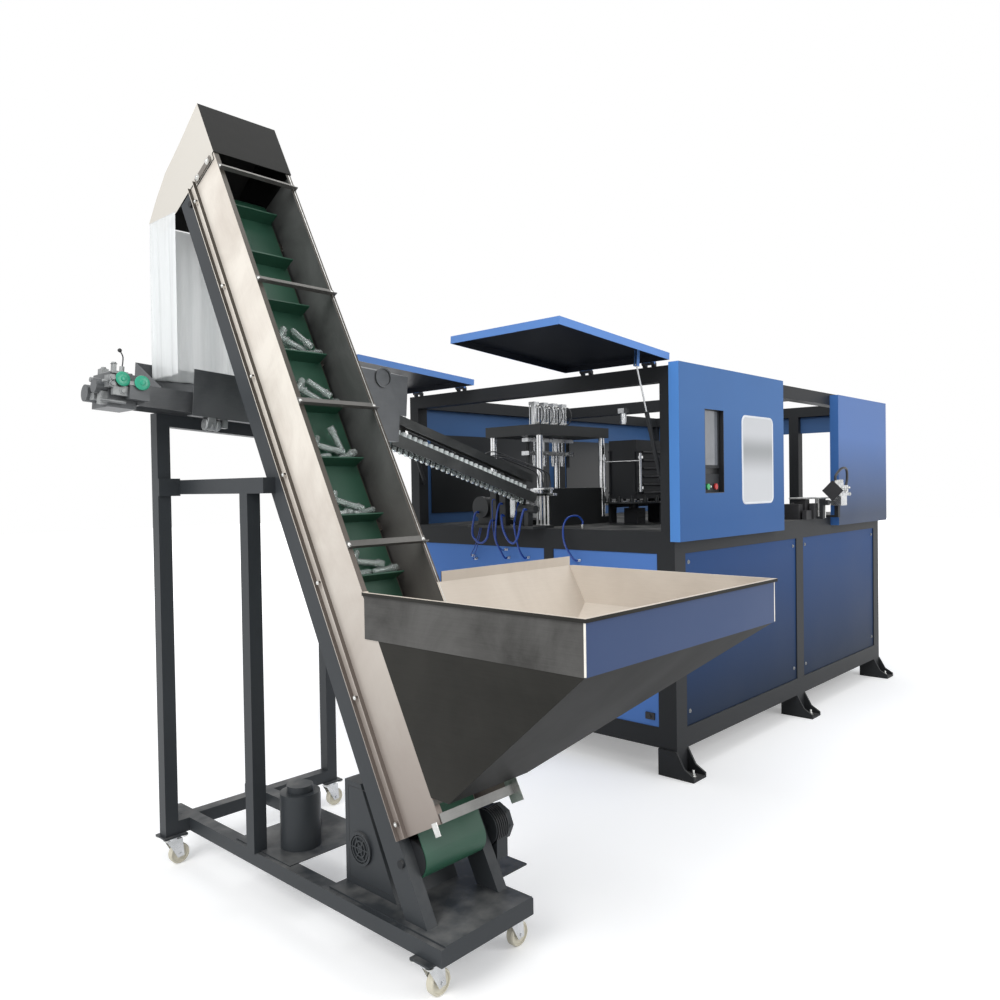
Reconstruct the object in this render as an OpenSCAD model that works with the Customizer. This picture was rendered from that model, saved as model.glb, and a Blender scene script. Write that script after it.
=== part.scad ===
// Stretch blow moulding line for bottle preforms: an inclined cleated elevator with its hopper,
// a roller unscrambler on a wheeled stand, a sloped infeed rail and the enclosed blowing machine.
// Origin: outer corner of the machine frame beside the operator, on the floor.
// +X runs along the operator's side, +Y along the infeed end, +Z is up.

/* [Machine frame] */
// Length of the frame along the operator's side
frame_l = 2860; // [2700:10:3200]
// Depth of the frame along the infeed end
frame_w = 1900; // [1800:10:2200]
// Height of the frame above the floor
frame_h = 2000; // [1950:10:2200]
// Height of the lowest rail above the floor, carried by the feet
foot_h = 130; // [90:5:180]
// Side of the square tubes below the deck
base_tube = 100; // [80:5:120]
// Height of the beam round the deck
beam_h = 110; // [90:5:130]
// Height of the deck above the floor
deck_z = 1195; // [1150:5:1230]
// Side of the square tubes above the deck
top_tube = 75; // [60:5:90]
// Start of the middle post along the operator's side
mid_post_x = 1412; // [1300:4:1500]
// Thickness of the deck plate
deck_t = 16; // [10:1:20]
// Depth that the lower panels are set back from the frame's face
panel_inset = 6; // [2:1:12]
// Radius of the anchor holes in the feet
anchor_r = 8; // [5:0.5:12]
// Thickness of a foot's sole plate
sole_t = 12; // [8:1:16]

/* [Covers and doors] */
// How far the upper covers stand proud of the frame
cover_d = 55; // [40:1:70]
// Sheet thickness of covers and doors
cover_t = 3; // [2:0.5:5]
// Length of the operator's cover
cover_l = 1160; // [1130:5:1200]
// Overhang of the operator's cover past the frame's corner
cover_over = 40; // [10:2:60]
// Start of the outlet side's cover
cover2_x = 1956; // [1900:4:2100]
// Length of the outlet side's cover
cover2_l = 919; // [800:1:960]
// Width of the viewing window
window_w = 330; // [250:5:360]
// Height of the viewing window
window_h = 640; // [500:5:700]
// Thickness of the window pane
pane_t = 5; // [3:0.5:8]
// Width of the control recess
panel_w = 196; // [150:2:220]
// Height of the control recess
panel_h = 470; // [380:5:500]
// Radius of a push button
button_r = 15; // [10:0.5:18]
// Travel of a push button
button_travel = 4; // [2:0.5:5]
// Length of an awning door along the infeed end
door_w = 630; // [500:5:660]
// Reach of an awning door from its hinge
door_l = 845; // [780:5:860]
// Depth of an awning door's rim
door_d = 34; // [24:2:44]
// Radius of the awning doors' hinge pins
hinge_r = 7; // [5:0.5:9]
// Angle of the open awning doors above level
door_tilt = 4; // [0:1:10]
// Radius of a gas strut's cylinder
strut_r = 11; // [8:0.5:13]
// Radius of a gas strut's rod
strut_rod_r = 4; // [3:0.5:5]

/* [Blowing press] */
// Centre of the press along the machine
press_x = 400; // [360:5:480]
// Centre of the press across the machine
press_y = 1100; // [1050:5:1150]
// Length of the press plates
press_l = 660; // [600:5:700]
// Width of the press plates
press_w = 420; // [380:5:460]
// Radius of the press columns
column_r = 18; // [14:1:22]
// Underside of the press head above the floor
head_z = 1715; // [1650:5:1740]
// Thickness of the press head
head_t = 60; // [40:5:70]
// Number of blowing stations
stations = 4; // [2:1:4]
// Distance from one station to the next
station_pitch = 88; // [80:1:100]
// Bore radius of the stretch cylinders
stretch_r = 20; // [14:1:24]
// Length of the stretch cylinders
stretch_l = 150; // [100:5:160]
// Radius of the stretch rods
rod_r = 6; // [4:0.5:8]
// Radius of a blowing nozzle
nozzle_r = 15; // [10:1:18]
// Travel of the nozzle bar
nozzle_travel = 40; // [30:5:60]
// Travel of the stretch rods' bar
stretch_travel = 50; // [30:5:70]
// Opening of each mould half
mould_travel = 60; // [30:5:70]
// Height of the mould halves
mould_h = 170; // [140:5:190]
// Thickness of a mould half across the press
mould_t = 70; // [50:5:80]

/* [Heating tunnel] */
// Start of the heating tunnel along the machine
oven_x = 480; // [440:5:520]
// Length of the heating tunnel
oven_l = 1400; // [1200:10:1450]
// Height of the lamp housing
oven_h = 340; // [240:5:360]
// Distance between the two runs of the spindle chain
chain_w = 360; // [320:5:420]
// Distance from one spindle to the next
spindle_pitch = 76; // [60:1:90]
// Radius of a preform spindle
spindle_r = 11; // [8:1:14]
// Radius of an infrared lamp
lamp_r = 7; // [5:0.5:9]
// Number of lamps one above the other
lamps = 6; // [4:1:8]

/* [Elevator] */
// Angle of the elevator above level
incline_deg = 62; // [60:0.5:63]
// Outer width of the elevator over its side walls
elev_w = 325; // [300:5:340]
// Length of the side walls along the incline
wall_l = 2475; // [2400:5:2550]
// Depth of the side walls
wall_d = 200; // [180:5:220]
// Sheet thickness of the side walls
wall_t = 3; // [2:0.5:4]
// Radius of the belt drums
drum_r = 55; // [50:1:60]
// Thickness of the belt
belt_t = 4; // [3:0.5:6]
// Height of a cleat above the belt
cleat_h = 58; // [40:2:70]
// Distance from one cleat to the next
cleat_pitch = 220; // [180:5:300]
// Radius of the drum shafts
shaft_r = 12; // [9:0.5:15]
// Depth of the painted beams behind the side walls
beam_d = 80; // [60:2:90]
// Width of the painted beams behind the side walls
beam_w = 40; // [30:2:50]

/* [Hopper] */
// Length of the hopper along the machine
hopper_l = 1020; // [900:10:1060]
// Reach of the hopper in front of the elevator
hopper_w = 855; // [750:5:900]
// Height of the hopper's rim above the floor
hopper_z = 1115; // [1080:5:1130]
// Height of the upright band below the rim
band_h = 140; // [100:5:180]
// Sheet thickness of the hopper
hopper_t = 3; // [2:0.5:4]

/* [Unscrambler and stand] */
// Side of the stand's square tubes
stand_tube = 50; // [40:2:60]
// Underside of the stand's base above the floor
stand_z = 120; // [115:1:130]
// Length of the unscrambler's rollers
roller_l = 1150; // [1000:10:1200]
// Radius of the rollers
roller_r = 22; // [18:1:24]
// Distance between the two rollers' axes
roller_gap = 72; // [66:1:80]
// Fall of the unscrambler towards the machine
deck_fall_deg = 4; // [2:0.5:5]
// Radius of the caster wheels
wheel_r = 38; // [32:1:40]
// Width of the caster wheels
wheel_w = 26; // [20:1:30]

/* [Infeed rail and preforms] */
// Fall of the infeed rail
rail_fall_deg = 16.4; // [14:0.2:18]
// Length of the infeed rail
rail_l = 1100; // [1000:10:1120]
// Radius of a preform's body
preform_r = 11; // [9:0.5:12]
// Radius of a preform's neck ring
neck_r = 17; // [15:0.5:18]
// Length of a preform
preform_l = 105; // [90:1:115]
// Distance from one preform to the next on the rail
preform_pitch = 36; // [36:1:60]

/* [Hidden] */
$fn = 32;

black = [0.10, 0.11, 0.12];
grey = [0.33, 0.34, 0.35];
blue = [0.24, 0.42, 0.76];
steel = [0.72, 0.70, 0.66];
zinc = [0.62, 0.63, 0.65];
belt_green = [0.10, 0.32, 0.20];
clear_pet = [0.86, 0.92, 0.94];

// Gap between pieces that move past each other
gap = 0.3;
// Radial clearance of a shaft in its bearing
fit = 0.05;
// Overlap that lets a cut run past a face
eps = 1;

beam_z = deck_z - beam_h;
rail_top = foot_h + base_tube;
post_mid_y = 753;
post_mid_w = 64;

// A block between two corners
module block(a, b) {
    translate(a) cube([b[0] - a[0], b[1] - a[1], b[2] - a[2]]);
}

// A profile drawn in Y and Z, given a length along X
module along_x(x, length) {
    translate([x, 0, 0]) rotate([90, 0, 90]) linear_extrude(length) children();
}

// A profile drawn in X and Z, given a length along Y
module along_y(y, length) {
    translate([0, y + length, 0]) rotate([90, 0, 0]) linear_extrude(length) children();
}

// A round bar along X
module bar_x(from, length, radius) {
    translate(from) rotate([0, 90, 0]) cylinder(h = length, r = radius);
}

// A round bar along Y
module bar_y(from, length, radius) {
    translate(from) rotate([-90, 0, 0]) cylinder(h = length, r = radius);
}

// A round bar along Z
module bar_z(from, length, radius) {
    translate(from) cylinder(h = length, r = radius);
}

// A solid between a lower and an upper four-sided outline
module frustum(low, high) {
    polyhedron(concat(low, high), [[0, 1, 2, 3], [7, 6, 5, 4], [0, 4, 5, 1], [1, 5, 6, 2],
        [2, 6, 7, 3], [3, 7, 4, 0]]);
}

// A flat outline with round ends, centred between two points on X
module slot_shape(x0, x1, radius) {
    translate([x0, 0]) circle(radius);
    translate([x1, 0]) circle(radius);
    translate([x0, -radius]) square([x1 - x0, 2 * radius]);
}

// Rectangle with rounded corners
module round_rect(w, h, r) {
    translate([r, 0]) square([w - 2 * r, h]);
    translate([0, r]) square([w, h - 2 * r]);
    for (x = [r, w - r], y = [r, h - r]) translate([x, y]) circle(r);
}

// Base frame: welded square tubes below the deck
module base_frame() {
    color(black) {
        for (x = [0, mid_post_x, frame_l - base_tube], y = [0, frame_w - base_tube])
            block([x, y, foot_h], [x + base_tube, y + base_tube, deck_z]);
        for (y = [0, frame_w - base_tube], z = [foot_h, beam_z]) {
            top = z == foot_h ? rail_top : deck_z;
            block([base_tube, y, z], [mid_post_x, y + base_tube, top]);
            block([mid_post_x + base_tube, y, z], [frame_l - base_tube, y + base_tube, top]);
        }
        for (x = [0, frame_l - base_tube], z = [foot_h, beam_z]) {
            top = z == foot_h ? rail_top : deck_z;
            block([x, base_tube, z], [x + base_tube, frame_w - base_tube, top]);
        }
        for (x = [0, frame_l - base_tube])
            block([x, post_mid_y, rail_top], [x + base_tube, post_mid_y + post_mid_w, beam_z]);
        block([mid_post_x, base_tube, beam_z], [mid_post_x + base_tube, frame_w - base_tube, deck_z - deck_t]);
    }
}

end_post_y = 560;
band_low = 1800;
top_z = frame_h - top_tube;

// Upper frame: posts and roof beams of smaller square tube
module upper_frame() {
    color(black) {
        for (x = [0, frame_l - top_tube], y = [0, frame_w - top_tube])
            block([x, y, deck_z], [x + top_tube, y + top_tube, frame_h]);
        for (y = [0, frame_w - top_tube])
            block([top_tube, y, top_z], [frame_l - top_tube, y + top_tube, frame_h]);
        for (x = [0, frame_l - top_tube])
            block([x, top_tube, top_z], [x + top_tube, frame_w - top_tube, frame_h]);
        block([mid_post_x, top_tube, top_z], [mid_post_x + top_tube, frame_w - top_tube, frame_h]);
        block([mid_post_x, frame_w - top_tube, deck_z], [mid_post_x + top_tube, frame_w, top_z]);
        block([frame_l - top_tube, end_post_y, deck_z], [frame_l, end_post_y + top_tube, top_z]);
    }
    door_hardware();
}

foot_reach = 95;
foot_w = 120;
foot_x = [for (x = [base_tube / 2, mid_post_x + base_tube / 2, frame_l - base_tube / 2]) x];
anchor_out = 58;

// One foot: a sole, a slanting web and two ribs under a post, flaring away from the frame
module foot(x, side) {
    y = side < 0 ? 0 : frame_w;
    translate([x, y, 0]) mirror([0, side > 0 ? 1 : 0, 0]) {
        difference() {
            block([-foot_w / 2, -foot_reach, 0], [foot_w / 2, base_tube, sole_t]);
            bar_z([0, -anchor_out, -eps], sole_t + 2 * eps, anchor_r);
        }
        along_x(-foot_w / 2, sole_t) foot_rib();
        along_x(foot_w / 2 - sole_t, sole_t) foot_rib();
        block([-foot_w / 2 + sole_t, 0, sole_t], [foot_w / 2 - sole_t, sole_t, foot_h]);
        block([-foot_w / 2 + sole_t, sole_t, foot_h - sole_t], [foot_w / 2 - sole_t, base_tube, foot_h]);
    }
}

module foot_rib() {
    polygon([[-foot_reach, sole_t], [base_tube, sole_t], [base_tube, foot_h], [0, foot_h],
        [-foot_reach * 0.45, foot_h * 0.42], [-foot_reach, sole_t * 2]]);
}

module feet() {
    color(black) for (x = foot_x, side = [-1, 1]) foot(x, side);
}

// Deck plate that carries the press and the heating tunnel
module deck() {
    color(grey) {
        block([base_tube, base_tube, deck_z - deck_t], [frame_l - base_tube, frame_w - base_tube, deck_z]);
    }
}

// One lower panel with a folded edge, between two posts
module panel_y(x0, x1, y, side) {
    depth = 20;
    y0 = side < 0 ? y + panel_inset : y - panel_inset - depth;
    block([x0, side < 0 ? y0 : y0 + depth - cover_t, rail_top], [x1, side < 0 ? y0 + cover_t : y0 + depth, beam_z]);
    for (x = [x0, x1 - cover_t])
        block([x, side < 0 ? y0 + cover_t : y0, rail_top],
            [x + cover_t, side < 0 ? y0 + depth : y0 + depth - cover_t, beam_z]);
}

module panel_x(y0, y1, x, side) {
    depth = 20;
    x0 = side < 0 ? x + panel_inset : x - panel_inset - depth;
    block([side < 0 ? x0 : x0 + depth - cover_t, y0, rail_top], [side < 0 ? x0 + cover_t : x0 + depth, y1, beam_z]);
    for (y = [y0, y1 - cover_t])
        block([side < 0 ? x0 + cover_t : x0, y, rail_top],
            [side < 0 ? x0 + depth : x0 + depth - cover_t, y + cover_t, beam_z]);
}

// Lower panels: fixed steel covers on all four sides below the deck
module lower_panels() {
    color(blue) {
        for (side = [-1, 1]) {
            panel_y(base_tube, mid_post_x, side < 0 ? 0 : frame_w, side);
            panel_y(mid_post_x + base_tube, frame_l - base_tube, side < 0 ? 0 : frame_w, side);
            panel_x(base_tube, post_mid_y, side < 0 ? 0 : frame_l, side);
            panel_x(post_mid_y + post_mid_w, frame_w - base_tube, side < 0 ? 0 : frame_l, side);
        }
    }
}

cover_low = 1150;
cover_top = frame_h + 8;
window_x = 640;
window_z = 1330;
window_round = 34;
panel_x0 = 205;
panel_z0 = 1378;
recess_d = 40;

// Operator's cover: a folded panel with the control recess and the window opening
module operator_cover() {
    color(blue) difference() {
        union() {
            block([-cover_over, -cover_d, cover_low], [cover_l - cover_over, -cover_d + cover_t, cover_top]);
            for (x = [-cover_over, cover_l - cover_over - cover_t])
                block([x, -cover_d + cover_t, cover_low], [x + cover_t, x < 0 ? -gap : 0, cover_top]);
            for (z = [cover_low, cover_top - cover_t])
                block([-cover_over + cover_t, -cover_d + cover_t, z], [cover_l - cover_over - cover_t, 0, z + cover_t]);
            block([panel_x0 - cover_t, -cover_d + cover_t, panel_z0 - cover_t],
                [panel_x0 + panel_w + cover_t, -cover_d + recess_d + cover_t, panel_z0 + panel_h + cover_t]);
        }
        block([panel_x0, -cover_d - eps, panel_z0], [panel_x0 + panel_w, -cover_d + recess_d, panel_z0 + panel_h]);
        translate([window_x, -cover_d - eps, window_z]) rotate([90, 0, 0]) mirror([0, 0, 1])
            linear_extrude(cover_t + 2 * eps) round_rect(window_w, window_h, window_round);
    }
}

// Window pane held behind the cover's opening
module window() {
    rim = 18;
    color([0.80, 0.83, 0.86])
        block([window_x - rim, -cover_d + cover_t, window_z - rim],
            [window_x + window_w + rim, -cover_d + cover_t + pane_t, window_z + window_h + rim]);
}

button_z = 1410;
plate_h = 96;
button_plate_y = -cover_d + recess_d - 12;
start_x = panel_x0 + panel_w * 0.32;
stop_x = panel_x0 + panel_w * 0.74;

// Control panel: touch screen above a black button plate
module control_panel() {
    bezel = 14;
    screen_z = panel_z0 + plate_h + 30;
    back = -cover_d + recess_d;
    color(black) difference() {
        union() {
            block([panel_x0, button_plate_y, panel_z0], [panel_x0 + panel_w, back, panel_z0 + plate_h]);
            block([panel_x0 + 6, back - 16, screen_z], [panel_x0 + panel_w - 6, back, panel_z0 + panel_h - 40]);
        }
        block([panel_x0 + 6 + bezel, back - 16 - eps, screen_z + bezel],
            [panel_x0 + panel_w - 6 - bezel, back - 14, panel_z0 + panel_h - 40 - bezel]);
        for (x = [start_x, stop_x])
            bar_y([x, button_plate_y - eps, button_z], recess_d, button_r * 0.55 + fit);
    }
}

// Push button: a head that stands off its plate by its travel, on a stem in the plate's bore
module button(x) {
    bar_y([x, button_plate_y - button_travel - gap - 8, button_z], 8, button_r);
    bar_y([x, button_plate_y - button_travel - gap, button_z], 8 + button_travel, button_r * 0.55);
}

module start_button() {
    color([0.10, 0.55, 0.35]) button(start_x);
}

module stop_button() {
    color([0.80, 0.12, 0.14]) button(stop_x);
}

cover2_low = 1141;
cover2_top = frame_h - 12;

// Cover on the outlet side: a plain folded panel
module outlet_cover() {
    x1 = cover2_x + cover2_l;
    color(blue) {
        block([cover2_x, -cover_d, cover2_low], [x1, -cover_d + cover_t, cover2_top]);
        for (x = [cover2_x, x1 - cover_t])
            block([x, -cover_d + cover_t, cover2_low], [x + cover_t, 0, cover2_top]);
        for (z = [cover2_low, cover2_top - cover_t])
            block([cover2_x + cover_t, -cover_d + cover_t, z], [x1 - cover_t, 0, z + cover_t]);
    }
}

// Rear covers: blue panels with window openings along the far side and a band on the outlet end
module rear_covers() {
    sill = 90;
    color(blue) {
        for (span = [[top_tube, mid_post_x], [mid_post_x + top_tube, frame_l - top_tube]]) {
            x0 = span[0];
            x1 = span[1];
            y = frame_w - 30;
            difference() {
                block([x0, y, deck_z], [x1, y + cover_t, top_z]);
                translate([x0 + sill, y - eps, deck_z + sill]) rotate([90, 0, 0]) mirror([0, 0, 1])
                    linear_extrude(cover_t + 2 * eps)
                    round_rect(x1 - x0 - 2 * sill, top_z - deck_z - 3 * sill, window_round);
            }
        }
        block([frame_l - 30, top_tube, band_low], [frame_l - 30 + cover_t, end_post_y, top_z]);
        block([frame_l - 30, end_post_y + top_tube, band_low],
            [frame_l - 30 + cover_t, frame_w - top_tube, top_z]);
    }
}

hinge_x = -8;
hinge_z = frame_h + 19;
knuckle_r = hinge_r + 4;
knuckle_l = 20;
leaf_l = 30;
door_start = 14;
door_y = [4, frame_w + cover_over - door_w];
strut_y = [top_tube + 17, frame_w - top_tube - 17];
// Place of the strut's upper bracket on the open door, outward from the hinge and below the door
bracket_out = 162;
bracket_drop = 36;
strut_drop = 543;
strut_foot = [30, frame_h - strut_drop];
eye_w = 10;
strut_top = [hinge_x - bracket_out * cos(door_tilt) - bracket_drop * sin(door_tilt),
    hinge_z + bracket_out * sin(door_tilt) - bracket_drop * cos(door_tilt)];
strut_lean = atan2(strut_foot[0] - strut_top[0], strut_top[1] - strut_foot[1]);
strut_len = norm(strut_top - strut_foot);
strut_body_l = 340;
strut_pin_r = 4;

// Places children in an awning door's own frame: outward from the hinge, along it, above it
module on_door(y) {
    translate([hinge_x, y, hinge_z]) rotate([0, door_tilt, 0]) mirror([1, 0, 0]) children();
}

// Where the two hinges of a door start along it
function hinge_starts(w) = [90, w - 90 - 2 * knuckle_l - leaf_l];

// Awning door over half of the infeed end: sheet, folded rim, hinge leaves and pins, strut bracket
module door(n) {
    x1 = door_start + door_l;
    color(blue) on_door(door_y[n]) {
        block([door_start, 0, door_d - cover_t], [x1, door_w, door_d]);
        for (x = [door_start, x1 - cover_t])
            block([x, 0, 0.5], [x + cover_t, door_w, door_d - cover_t]);
        for (y = [0, door_w - cover_t])
            block([door_start + cover_t, y, 0.5], [x1 - cover_t, y + cover_t, door_d - cover_t]);
    }
    color(zinc) {
        on_door(door_y[n]) for (y = hinge_starts(door_w)) {
            bar_y([0, y, 0], 2 * knuckle_l + leaf_l, hinge_r);
            bar_y([0, y + knuckle_l + gap, 0], leaf_l - 2 * gap, knuckle_r);
            block([0, y + knuckle_l + gap, 0.5], [door_start, y + knuckle_l + leaf_l - gap, knuckle_r]);
        }
        on_door(strut_y[n]) for (y = [-eye_w / 2 - gap - 4, eye_w / 2 + gap])
            block([bracket_out - 12, y, -bracket_drop - 10], [bracket_out + 12, y + 4, door_d - cover_t]);
    }
}

module door_1() {
    door(0);
}

module door_2() {
    door(1);
}

// Fixed hinge knuckles on the roof beam and the struts' lower brackets, part of the upper frame
module door_hardware() {
    color(zinc) for (n = [0, 1]) {
        for (start = hinge_starts(door_w), side = [0, knuckle_l + leaf_l]) difference() {
            y = door_y[n] + start + side;
            union() {
                bar_y([hinge_x, y, hinge_z], knuckle_l, knuckle_r);
                block([hinge_x, y, frame_h], [-hinge_x, y + knuckle_l, hinge_z]);
            }
            bar_y([hinge_x, y - eps, hinge_z], knuckle_l + 2 * eps, hinge_r + fit);
        }
        wall_y = n == 0 ? top_tube : frame_w - top_tube;
        out = n == 0 ? 1 : -1;
        bar_y([strut_foot[0], out > 0 ? wall_y : wall_y - 24, strut_foot[1]], 24, strut_pin_r);
    }
}

// Places children along an open strut, measured up from its lower pivot
module on_strut(n) {
    translate([strut_foot[0], strut_y[n], strut_foot[1]]) rotate([0, -strut_lean, 0]) children();
}

// Gas strut's cylinder, with its eye round the lower pin
module strut_body(n) {
    color(black) on_strut(n) difference() {
        union() {
            bar_y([0, -eye_w / 2, 0], eye_w, strut_r - 2);
            bar_z([0, 0, 0], 20, strut_rod_r);
            bar_z([0, 0, 18], strut_body_l - 18, strut_r);
        }
        bar_y([0, -eye_w, 0], 2 * eye_w, strut_pin_r + fit);
        bar_z([0, 0, 90], strut_body_l, strut_rod_r + fit);
    }
}

module strut_body_1() {
    strut_body(0);
}

module strut_body_2() {
    strut_body(1);
}

// Gas strut's rod, with the eye that meets the door's bracket
module strut_rod(n) {
    color(zinc) on_strut(n) {
        bar_z([0, 0, strut_body_l - 40], strut_len - strut_body_l + 40, strut_rod_r);
        bar_y([0, -eye_w / 2, strut_len], eye_w, 8);
    }
}

module strut_rod_1() {
    strut_rod(0);
}

module strut_rod_2() {
    strut_rod(1);
}

plate_t = 40;
press_base_z = deck_z + plate_t;
mould_z = press_base_z + 6;
guide_x = 215;
guide_z = mould_z + 62;
guide_r = 14;
mould_l = 490;
side_plate_t = 25;
side_plate_y = press_w / 2 - side_plate_t;
bar_guide_x = 190;
bar_guide_r = 10;
nozzle_bar_t = 24;
nozzle_l = 63;
stretch_bar_t = 22;
stop_gap = 6;
stretch_bar_z = head_z - stretch_bar_t - 5;
nozzle_bar_z = stretch_bar_z - stretch_travel - nozzle_bar_t - stop_gap;
guide_end_z = nozzle_bar_z - nozzle_travel - 30;
station_x = [for (i = [0:stations - 1]) press_x + (i - (stations - 1) / 2) * station_pitch];

// Press frame: base plate, four columns, head plate, side plates with the mould guides
module press_frame() {
    color(grey) difference() {
        union() {
            block([press_x - press_l / 2, press_y - press_w / 2, deck_z],
                [press_x + press_l / 2, press_y + press_w / 2, press_base_z]);
            block([press_x - press_l / 2, press_y - press_w / 2, head_z],
                [press_x + press_l / 2, press_y + press_w / 2, head_z + head_t]);
        }
        for (x = station_x) bar_z([x, press_y, head_z - eps], head_t + 2 * eps, rod_r + fit);
    }
    color(zinc) {
        for (x = [-1, 1], y = [-1, 1])
            bar_z([press_x + x * (press_l / 2 - 32), press_y + y * (press_w / 2 - 32), press_base_z],
                head_z - press_base_z, column_r);
        for (side = [-1, 1]) {
            y = press_y + (side < 0 ? -press_w / 2 : press_w / 2 - side_plate_t);
            block([press_x - mould_l / 2, y, press_base_z],
                [press_x + mould_l / 2, y + side_plate_t, mould_z + mould_h]);
            bar_y([press_x + side * guide_x, press_y - side_plate_y, guide_z], 2 * side_plate_y, guide_r);
            bar_z([press_x + side * bar_guide_x, press_y, guide_end_z], head_z - guide_end_z, bar_guide_r);
        }
    }
}

// Half of a bottle's outline, turned to cut a cavity
module bottle_outline() {
    polygon([[0, 0], [26, 0], [30, 6], [34, 12], [34, 62], [31, 68], [34, 74], [34, 104], [26, 126],
        [14, 142], [11, 150], [11, mould_h], [0, mould_h]]);
}

// One mould half: a block with half-round bottle cavities and bores for its guides
module mould_half(side) {
    y = press_y + side * mould_travel;
    y0 = side < 0 ? y - mould_t : y;
    color([0.75, 0.76, 0.78]) difference() {
        block([press_x - mould_l / 2, y0, mould_z], [press_x + mould_l / 2, y0 + mould_t, mould_z + mould_h]);
        for (x = station_x) translate([x, y, mould_z + 12]) rotate_extrude() bottle_outline();
        for (x = [-1, 1])
            bar_y([press_x + x * guide_x, y0 - eps, guide_z], mould_t + 2 * eps, guide_r + fit);
    }
}

module mould_front() {
    mould_half(-1);
}

module mould_rear() {
    mould_half(1);
}

// Stretch cylinders standing on the press head, with square caps and tie rods
module stretch_cylinders() {
    cap = 2 * stretch_r + 4;
    z0 = head_z + head_t;
    color(zinc) for (x = station_x) {
        for (z = [z0, z0 + stretch_l - 18])
            block([x - cap / 2, press_y - cap / 2, z], [x + cap / 2, press_y + cap / 2, z + 18]);
        bar_z([x, press_y, z0 + 18], stretch_l - 36, stretch_r - 2);
        for (a = [-1, 1], b = [-1, 1])
            bar_z([x + a * (cap / 2 - 4), press_y + b * (cap / 2 - 4), z0 + 18], stretch_l - 36, 3);
    }
}

// Bar that drives the stretch rods, on the press's short guides
module stretch_bar() {
    half = bar_guide_x + 26;
    color(zinc) difference() {
        block([press_x - half, press_y - 24, stretch_bar_z],
            [press_x + half, press_y + 24, stretch_bar_z + stretch_bar_t]);
        for (x = [-1, 1])
            bar_z([press_x + x * bar_guide_x, press_y, stretch_bar_z - eps], stretch_bar_t + 2 * eps,
                bar_guide_r + fit);
    }
    color(zinc) for (x = station_x) {
        bar_z([x, press_y, stretch_bar_z + stretch_bar_t], head_t - 5, rod_r);
    }
}

// Stretch rods under the bar, each running down through its nozzle's bore
module stretch_rods() {
    color(zinc) for (x = station_x)
        bar_z([x, press_y, nozzle_bar_z - nozzle_l + 8], stretch_bar_z - nozzle_bar_z + nozzle_l - 8, rod_r);
}

// Bar with one blowing nozzle for each station
module nozzle_bar() {
    half = bar_guide_x + 26;
    color([0.85, 0.86, 0.88]) difference() {
        union() {
            block([press_x - half, press_y - 28, nozzle_bar_z],
                [press_x + half, press_y + 28, nozzle_bar_z + nozzle_bar_t]);
            for (x = station_x) {
                bar_z([x, press_y, nozzle_bar_z - nozzle_l], 20, nozzle_r * 0.75);
                bar_z([x, press_y, nozzle_bar_z - nozzle_l + 20], nozzle_l - 20, nozzle_r);
            }
        }
        for (x = station_x) bar_z([x, press_y, nozzle_bar_z - nozzle_l - eps],
            nozzle_l + nozzle_bar_t + 2 * eps, rod_r + 1);
        for (x = [-1, 1])
            bar_z([press_x + x * bar_guide_x, press_y, nozzle_bar_z - eps], nozzle_bar_t + 2 * eps,
                bar_guide_r + fit);
    }
}

oven_y = 660;
sprocket_teeth = 15;
chain_r = chain_w / 2;
chain_z = 1318;
chain_t = 8;
chain_half = 9;
axle_x = [oven_x + chain_r, oven_x + oven_l - chain_r];
axle_r = 14;
straight_l = axle_x[1] - axle_x[0];
tooth_pitch = 2 * chain_r * sin(180 / sprocket_teeth);

// Lamp housing between the chain's two runs, its infrared lamps, the track and the chain's axles
module oven_housing() {
    y0 = oven_y - 96;
    y1 = oven_y + 96;
    z0 = chain_z + chain_t + 18;
    x0 = oven_x + 60;
    x1 = oven_x + oven_l - 60;
    color(black) {
        for (x = [axle_x[0] + 240, axle_x[1] - 300])
            block([x, oven_y - 60, deck_z], [x + 60, oven_y + 60, z0]);
        block([x0, y0, z0], [x1, y1, z0 + oven_h]);
        for (x = axle_x) {
            block([x - 45, oven_y - 45, deck_z], [x + 45, oven_y + 45, chain_z - 30]);
            bar_z([x, oven_y, chain_z - 30], 46, axle_r);
            bar_z([x, oven_y, chain_z - 30], 30 - gap, axle_r + 10);
        }
        for (y = [oven_y - chain_r - 10, oven_y + chain_r - 10]) difference() {
            block([axle_x[0], y, deck_z], [axle_x[1], y + 20, chain_z - gap]);
            for (x = [axle_x[0] + 60:220:axle_x[1] - 200])
                block([x, y - eps, deck_z - eps], [x + 160, y + 20 + eps, chain_z - 30]);
        }
    }
    color([0.80, 0.80, 0.82]) for (y = [y0 - 16, y1 + 16], i = [0:lamps - 1]) {
        z = z0 + 34 + i * (oven_h - 60) / lamps;
        bar_x([x0 + 40, y, z], x1 - x0 - 80, lamp_r);
        for (x = [x0 + 60, x1 - 80])
            block([x, y < oven_y ? y + lamp_r - 1 : y1, z - 4], [x + 20, y < oven_y ? y0 : y - lamp_r + 1, z + 4]);
    }
    color(zinc) for (x = [x0 - 8, x1 + 8], y = [y0 + 10, y1 - 10])
        bar_z([x, y, z0 + 30], oven_h - 90, 6);
    color(zinc) for (x = [x0 - 14, x1], y = [y0 + 10, y1 - 10], z = [z0 + 30, z0 + oven_h - 70])
        block([x, y - 8, z], [x + 14, y + 8, z + 10]);
}

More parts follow.
